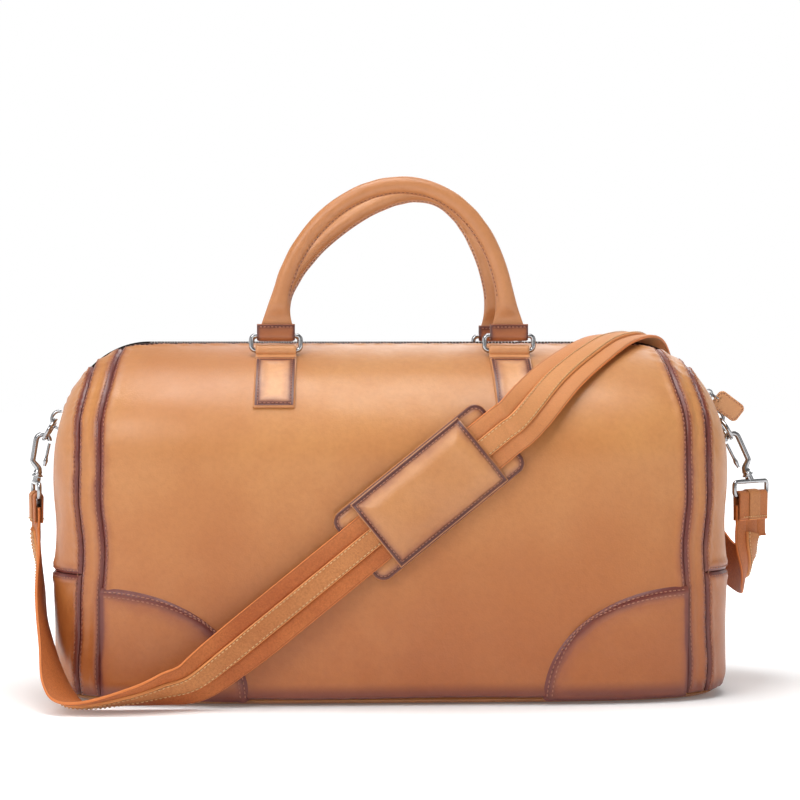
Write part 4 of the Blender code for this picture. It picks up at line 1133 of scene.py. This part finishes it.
def strap_pad():
    along, across, out = run_axes()
    behind = PAD_CENTRE - out * (STRAP_T / 2 + 0.0003 + PAD_T / 2)

    def edge(d):
        return PAD_T / 2 * math.sqrt(max(0.0, 1 - (1 - min(d / 0.0021, 1)) ** 2))

    def top(u, v, d):
        beside = np.clip((np.abs(v) - STRAP_WIDTH / 2 - 0.0005) / 0.003, 0, 1)
        beyond = np.clip((np.abs(u) - SLEEVE_LENGTH / 2 - 0.001) / 0.004, 0, 1)
        puff = 0.0011 * min(max(d - 0.0032, 0) / 0.003, 1) * beside * beyond
        return edge(d) - 0.0004 * bump(d - 0.0030, 0.0007) + puff

    def bottom(u, v, d):
        return -edge(d) + 0.0003 * bump(d - 0.0030, 0.0007) + 0 * u

    place = in_space(behind, along, across, out)
    cushion("leather_pad", place, (PAD_LENGTH / 2, PAD_WIDTH / 2), 0.009, top, bottom, PAD, 26,
            body="strap_pad", replaced=("shoulder_pad",))
    uv = rounded(PAD_LENGTH / 2 - 0.003, PAD_WIDTH / 2 - 0.003, 0.006, straight=30)
    uv = np.concatenate([uv, uv[:1]])
    stitch_line("pad", place(uv[:, 0], uv[:, 1], PAD_T / 2 - 0.0003), out, *FINE_STITCH)

    foot, peak = -STRAP_T / 2, STRAP_T / 2 + CENTRE_LIFT + CENTRE_T + 0.0006

    def over(v):
        rise = sleeve_rise(v)
        return foot + (peak - foot) * rise + 0.0005 * rise * (1 - (v / 0.020) ** 2)

    u = crowded(96) * SLEEVE_LENGTH / 2
    v = crowded(84) * SLEEVE_WIDTH / 2
    uu, vv = np.meshgrid(u, v, indexing="ij")
    low = over(vv)
    d = np.minimum(SLEEVE_LENGTH / 2 - np.abs(uu), SLEEVE_WIDTH / 2 - np.abs(vv))
    thick = SLEEVE_T * (1 - 0.45 * bump(d, 0.0006)) - 0.0004 * bump(d - 0.0030, 0.0007)
    fill = np.clip((d - 0.0034) / 0.012, 0, 1)
    thick = thick + 0.0016 * np.sin(fill * math.pi / 2) + 0.0003 * np.sin(uu * 160 + vv * 90) * fill
    space = in_space(PAD_CENTRE, along, across, out)
    sheet("leather_sleeve", space(uu, vv, low + thick), space(uu, vv, low), PAD, None, d, body="strap_pad",
          replaced=("pad_sleeve",))
    a, b = SLEEVE_LENGTH / 2 - 0.003, SLEEVE_WIDTH / 2 - 0.003
    u, v = np.linspace(-a, a, 120), np.linspace(-b, b, 120)
    on_top = SLEEVE_T - 0.0003
    for s in (-1, 1):
        for line in (space(s * a, v, over(v) + on_top), space(u, s * b, over(b) + on_top)):
            stitch_line("pad", line, out, 0.0030, 0.0021, 0.00042)


# ---- the hardware at the ends ----

STAPLE_R, STAPLE_WIRE = 0.0065, 0.0013
OVAL_HALF_Y, OVAL_HALF_DROP, OVAL_WIRE = 0.0130, 0.0088, 0.0015
HOOK_WIRE, HOOK_HALF = 0.0021, 0.0052
EYE_HALF, EYE_RISE, EYE_WIRE = 0.0213, 0.0105, 0.00175


def end_hardware(name, side, bar):
    crown = anchor(f"end_ring_{name}_swing")
    root = crown - X * side * (STAPLE_R - STAPLE_WIRE - OVAL_WIRE - 0.0003)
    t = np.linspace(0, math.pi, 26)[:, None]
    arch = root + STAPLE_R * (Z * np.cos(t) + X * side * np.sin(t))
    arch = np.concatenate([arch[:1] - X * side * 0.0012, arch, arch[-1:] - X * side * 0.0012])
    tube(f"wire_staple_{name}", arch, STAPLE_WIRE, "root", (f"staple_{name}",))
    drop = unit(np.array((side * 0.50, 0, -0.866)))
    t = (np.arange(56) * 2 * math.pi / 56)[:, None]
    loop = crown + drop * OVAL_HALF_DROP + Y * OVAL_HALF_Y * np.sin(t) - drop * OVAL_HALF_DROP * np.cos(t)
    tube(f"wire_oval_{name}", loop, OVAL_WIRE, f"end_ring_{name}", (f"end_ring_{name}",), np.cross(drop, Y),
         closed=True)

    hub = anchor(f"snap_hook_{name}_swivel")
    axis = unit(np.array(JOINTS[f"snap_hook_{name}_swivel"]["axis"], float))
    catch = crown + drop * 2 * OVAL_HALF_DROP
    tip = catch + unit(catch - hub) * (OVAL_WIRE + HOOK_WIRE + 0.0006) + X * side * 0.0008
    away = np.cross(axis, Y) * -side
    length, neck, start = np.linalg.norm(tip - hub), 0.0105, EYE_WIRE * 2.4 + 0.0003
    stem = hub + axis * np.linspace(EYE_WIRE * 0.4, start - 0.0003, 8)[:, None]
    tube(f"cast_swivel_{name}", stem, 0.0030, "root", sides=22)
    bow = length - HOOK_HALF
    t = np.linspace(0, math.pi * 0.94, 26)[:, None]
    swing = hub + axis * bow + away * HOOK_HALF * np.cos(t) + axis * HOOK_HALF * np.sin(t)
    s = np.linspace(0, 1, 12)[:, None]
    ease = s * s * (3 - 2 * s)
    throat = hub + axis * (start + 0.0055 + s * (neck + 0.006 - start - 0.0055)) + away * HOOK_HALF * ease
    shank = np.linspace(throat[-1], swing[0], 8)[1:-1]
    stack = [(start, 0.0030), (start + 0.0004, 0.0042), (start + 0.0016, 0.0043), (start + 0.0021, 0.0033),
             (start + 0.0027, 0.0030), (start + 0.0036, 0.0034), (start + 0.0046, 0.0030)]
    path = np.concatenate([[hub + axis * a for a, _r in stack], throat, shank, swing])
    sizes = [r for _a, r in stack] + list(np.linspace(0.0027, HOOK_WIRE, 12)) + [HOOK_WIRE] * len(shank)
    sizes += list(np.linspace(HOOK_WIRE, HOOK_WIRE * 0.82, len(swing)))
    tube(f"cast_hook_{name}", path, sizes, f"snap_hook_{name}", (f"snap_hook_{name}",), sides=22)
    foot, top = hub + axis * (neck + 0.0030) - away * 0.0042, swing[-1] - axis * HOOK_WIRE * 0.9
    s = np.linspace(0, 1, 14)[:, None]
    gate = foot + (top - foot) * s
    knob = 0.00115 + 0.0007 * bump(s[:, 0] - 0.22, 0.10)
    tube(f"cast_gate_{name}", gate, knob, f"snap_gate_{name}", (f"snap_gate_{name}",), sides=14)

    eye = EYES[name]
    uv = rounded(EYE_HALF, EYE_RISE / 2, 0.0032)
    facing = np.cross(bar, Z)
    tube(f"wire_eye_{name}", eye + uv[:, :1] * bar + uv[:, 1:] * Z, EYE_WIRE, "root",
         (f"strap_eye_{name}",), facing, closed=True)
    space = in_space(eye - Z * EYE_RISE / 2, bar, facing, -Z)
    fold(f"leather_strap_fold_{name}", space, STRAP_WIDTH / 2 - 0.0005, EYE_WIRE + 0.0004, 0.0016, 0.019,
         STRAP_T / 2 + 0.0006, RUST, slot="strap_leather", replaced=(f"strap_fold_{name}",))
    fold(f"leather_strip_fold_{name}", space, CENTRE_WIDTH / 2, EYE_WIRE + 0.0021, 0.0008, 0.0188,
         STRAP_T / 2 + 0.0023, STRIP, slot="strip_leather")
    across = np.linspace(-1, 1, 30) * (STRAP_WIDTH / 2 - 0.003)
    for s in (-1, 1):
        stitch_line("strap", space(across, s * (STRAP_T / 2 + 0.0031), 0.0163), facing * s, *FINE_STITCH)


body_stitches()
zip_chain()
zip_slider()
for face_name, face, side_name, side in CORNERS:
    handle_tab(f"{face_name}_{side_name}", side, face)
    handle_ring(f"{face_name}_{side_name}", side, face, face_name)
    handle_end(f"{face_name}_{side_name}", side, face, face_name)
for face_name, face in FACES:
    handle_grip(face_name, face)
strap()
strap_pad()
end_hardware("left", -1, unit(np.array((0.2, -0.98, 0))))
end_hardware("right", 1, unit(np.array((0.707, 0.707, 0))))
for group, look, body in (
    ("body", DARK_THREAD, "root"), ("pull", DARK_THREAD, "zip_pull"),
    ("front_handle", DARK_THREAD, "front_handle"), ("rear_handle", DARK_THREAD, "rear_handle"),
    ("front_grip", GRIP_THREAD, "front_handle"), ("rear_grip", GRIP_THREAD, "rear_handle"),
    ("strap", CREAM_THREAD, "root"), ("pad", DARK_THREAD, "strap_pad"),
):
    sew(group, look, body, "strip_leather" if group == "strap" else "tan_leather")

# ---- CAD nodes that stay, with their finish ----

KEPT = {
    "chrome": CHROME, "tan_leather": PLAIN_TAN, "strap_leather": RUST, "strip_leather": STRIP,
    "zip_tape": TAPE, "lining_cloth": LINING, "board": BOARD,
}
for node in frame["nodes"].values():
    for holder in node.material_slots:
        plain = holder.material.name.split(".")[0]
        if plain in KEPT:
            holder.material = KEPT[plain]

# ---- floor, lights and camera ----


def area(name, place, aim, size, power):
    data = bpy.data.lights.new(name, "AREA")
    data.shape = "RECTANGLE"
    data.size, data.size_y = size
    data.energy = power
    lamp = bpy.data.objects.new(name, data)
    lamp.location = place
    lamp.rotation_euler = (Vector(aim) - Vector(place)).to_track_quat("-Z", "Y").to_euler()
    bpy.context.collection.objects.link(lamp)


def studio():
    """A pale floor that glows softly away from the bag, its glow dimmed round the bag as a painted shadow, a
    white surround that darkens overhead and to one side, and four soft lights."""
    rim = 64
    turns = np.arange(rim) * 2 * math.pi / rim
    points = [(9 * math.cos(t), 9 * math.sin(t), cad_bounds[0][2] - 0.0004) for t in turns]
    mesh = bpy.data.meshes.new("floor")
    mesh.from_pydata(points, [], [list(range(rim))])
    n = Nodes("floor_paper")
    n.join(n.shader.inputs["Base Color"], n.mix(n.noise(3.0), (0.93, 0.93, 0.93), (0.90, 0.90, 0.90)))
    n.shader.inputs["Roughness"].default_value = 0.9
    n.shader.inputs["Emission Color"].default_value = (1, 1, 1, 1)
    # Painted shadow: the floor's glow is weakest near the bag, 0.36 within 0.42 m and rising to 0.86 by 1.5
    # m. It drops by a further 0.28 close round the bag's stretched footprint, as a soft contact shadow.
    beside = n.vector("MULTIPLY", n.place, (HALF_DEPTH / HALF_LENGTH, 1, 1))
    glow = n.math("ADD", n.ramp(n.vector("LENGTH", n.place, out="Value"), 0.42, 1.5, 0.36, 0.86),
                  n.ramp(n.vector("LENGTH", beside, out="Value"), 0.12, 0.26, -0.28, 0.0))
    n.join(n.shader.inputs["Emission Strength"], glow)
    mesh.materials.append(n.made)
    floor = bpy.data.objects.new("floor", mesh)
    bpy.context.collection.objects.link(floor)
    world = bpy.data.worlds.new("studio")
    n = Nodes("sky", world)
    overhead = n.ramp(n.axes()[2], 0.42, 0.26, 0.22, 1.0, "LINEAR")
    facing = n.vector("DOT_PRODUCT", n.place, (-0.7, 0.7, 0), "Value")
    away = n.ramp(facing, -0.45, -0.05, 0.30, 1.0, "LINEAR")
    n.feed(n.shader, 0, Color=(1, 1, 1, 1), Strength=n.math("MINIMUM", overhead, away))
    bpy.context.scene.world = world
    for name, place, aim_z, size, power in (
        ("key", (-1.3, -1.6, 1.7), 0.16, (1.4, 1.0), 25), ("top", (-0.1, -0.15, 2.0), 0.1, (1.8, 1.0), 31),
        ("fill", (1.9, -1.0, 0.9), 0.1, (1.0, 1.2), 3), ("back", (0.6, 2.0, 1.4), 0.12, (1.6, 1.0), 12),
    ):
        area(name, place, (0, 0, aim_z), size, power)


def camera():
    """About 2 m away, at the height of the bag's top and a little to its left."""
    distance, height, swing = 2.0, 0.255, math.radians(-2.5)
    data = bpy.data.cameras.new("camera")
    data.sensor_width = 36
    data.lens = 118.3
    made = bpy.data.objects.new("camera", data)
    made.location = (distance * math.sin(swing), -distance * math.cos(swing), height)
    made.rotation_euler = (math.radians(90 - 1.07), 0, swing - math.radians(0.229))
    bpy.context.collection.objects.link(made)
    bpy.context.scene.camera = made
    bpy.context.scene.view_settings.view_transform = "Standard"


studio()
camera()
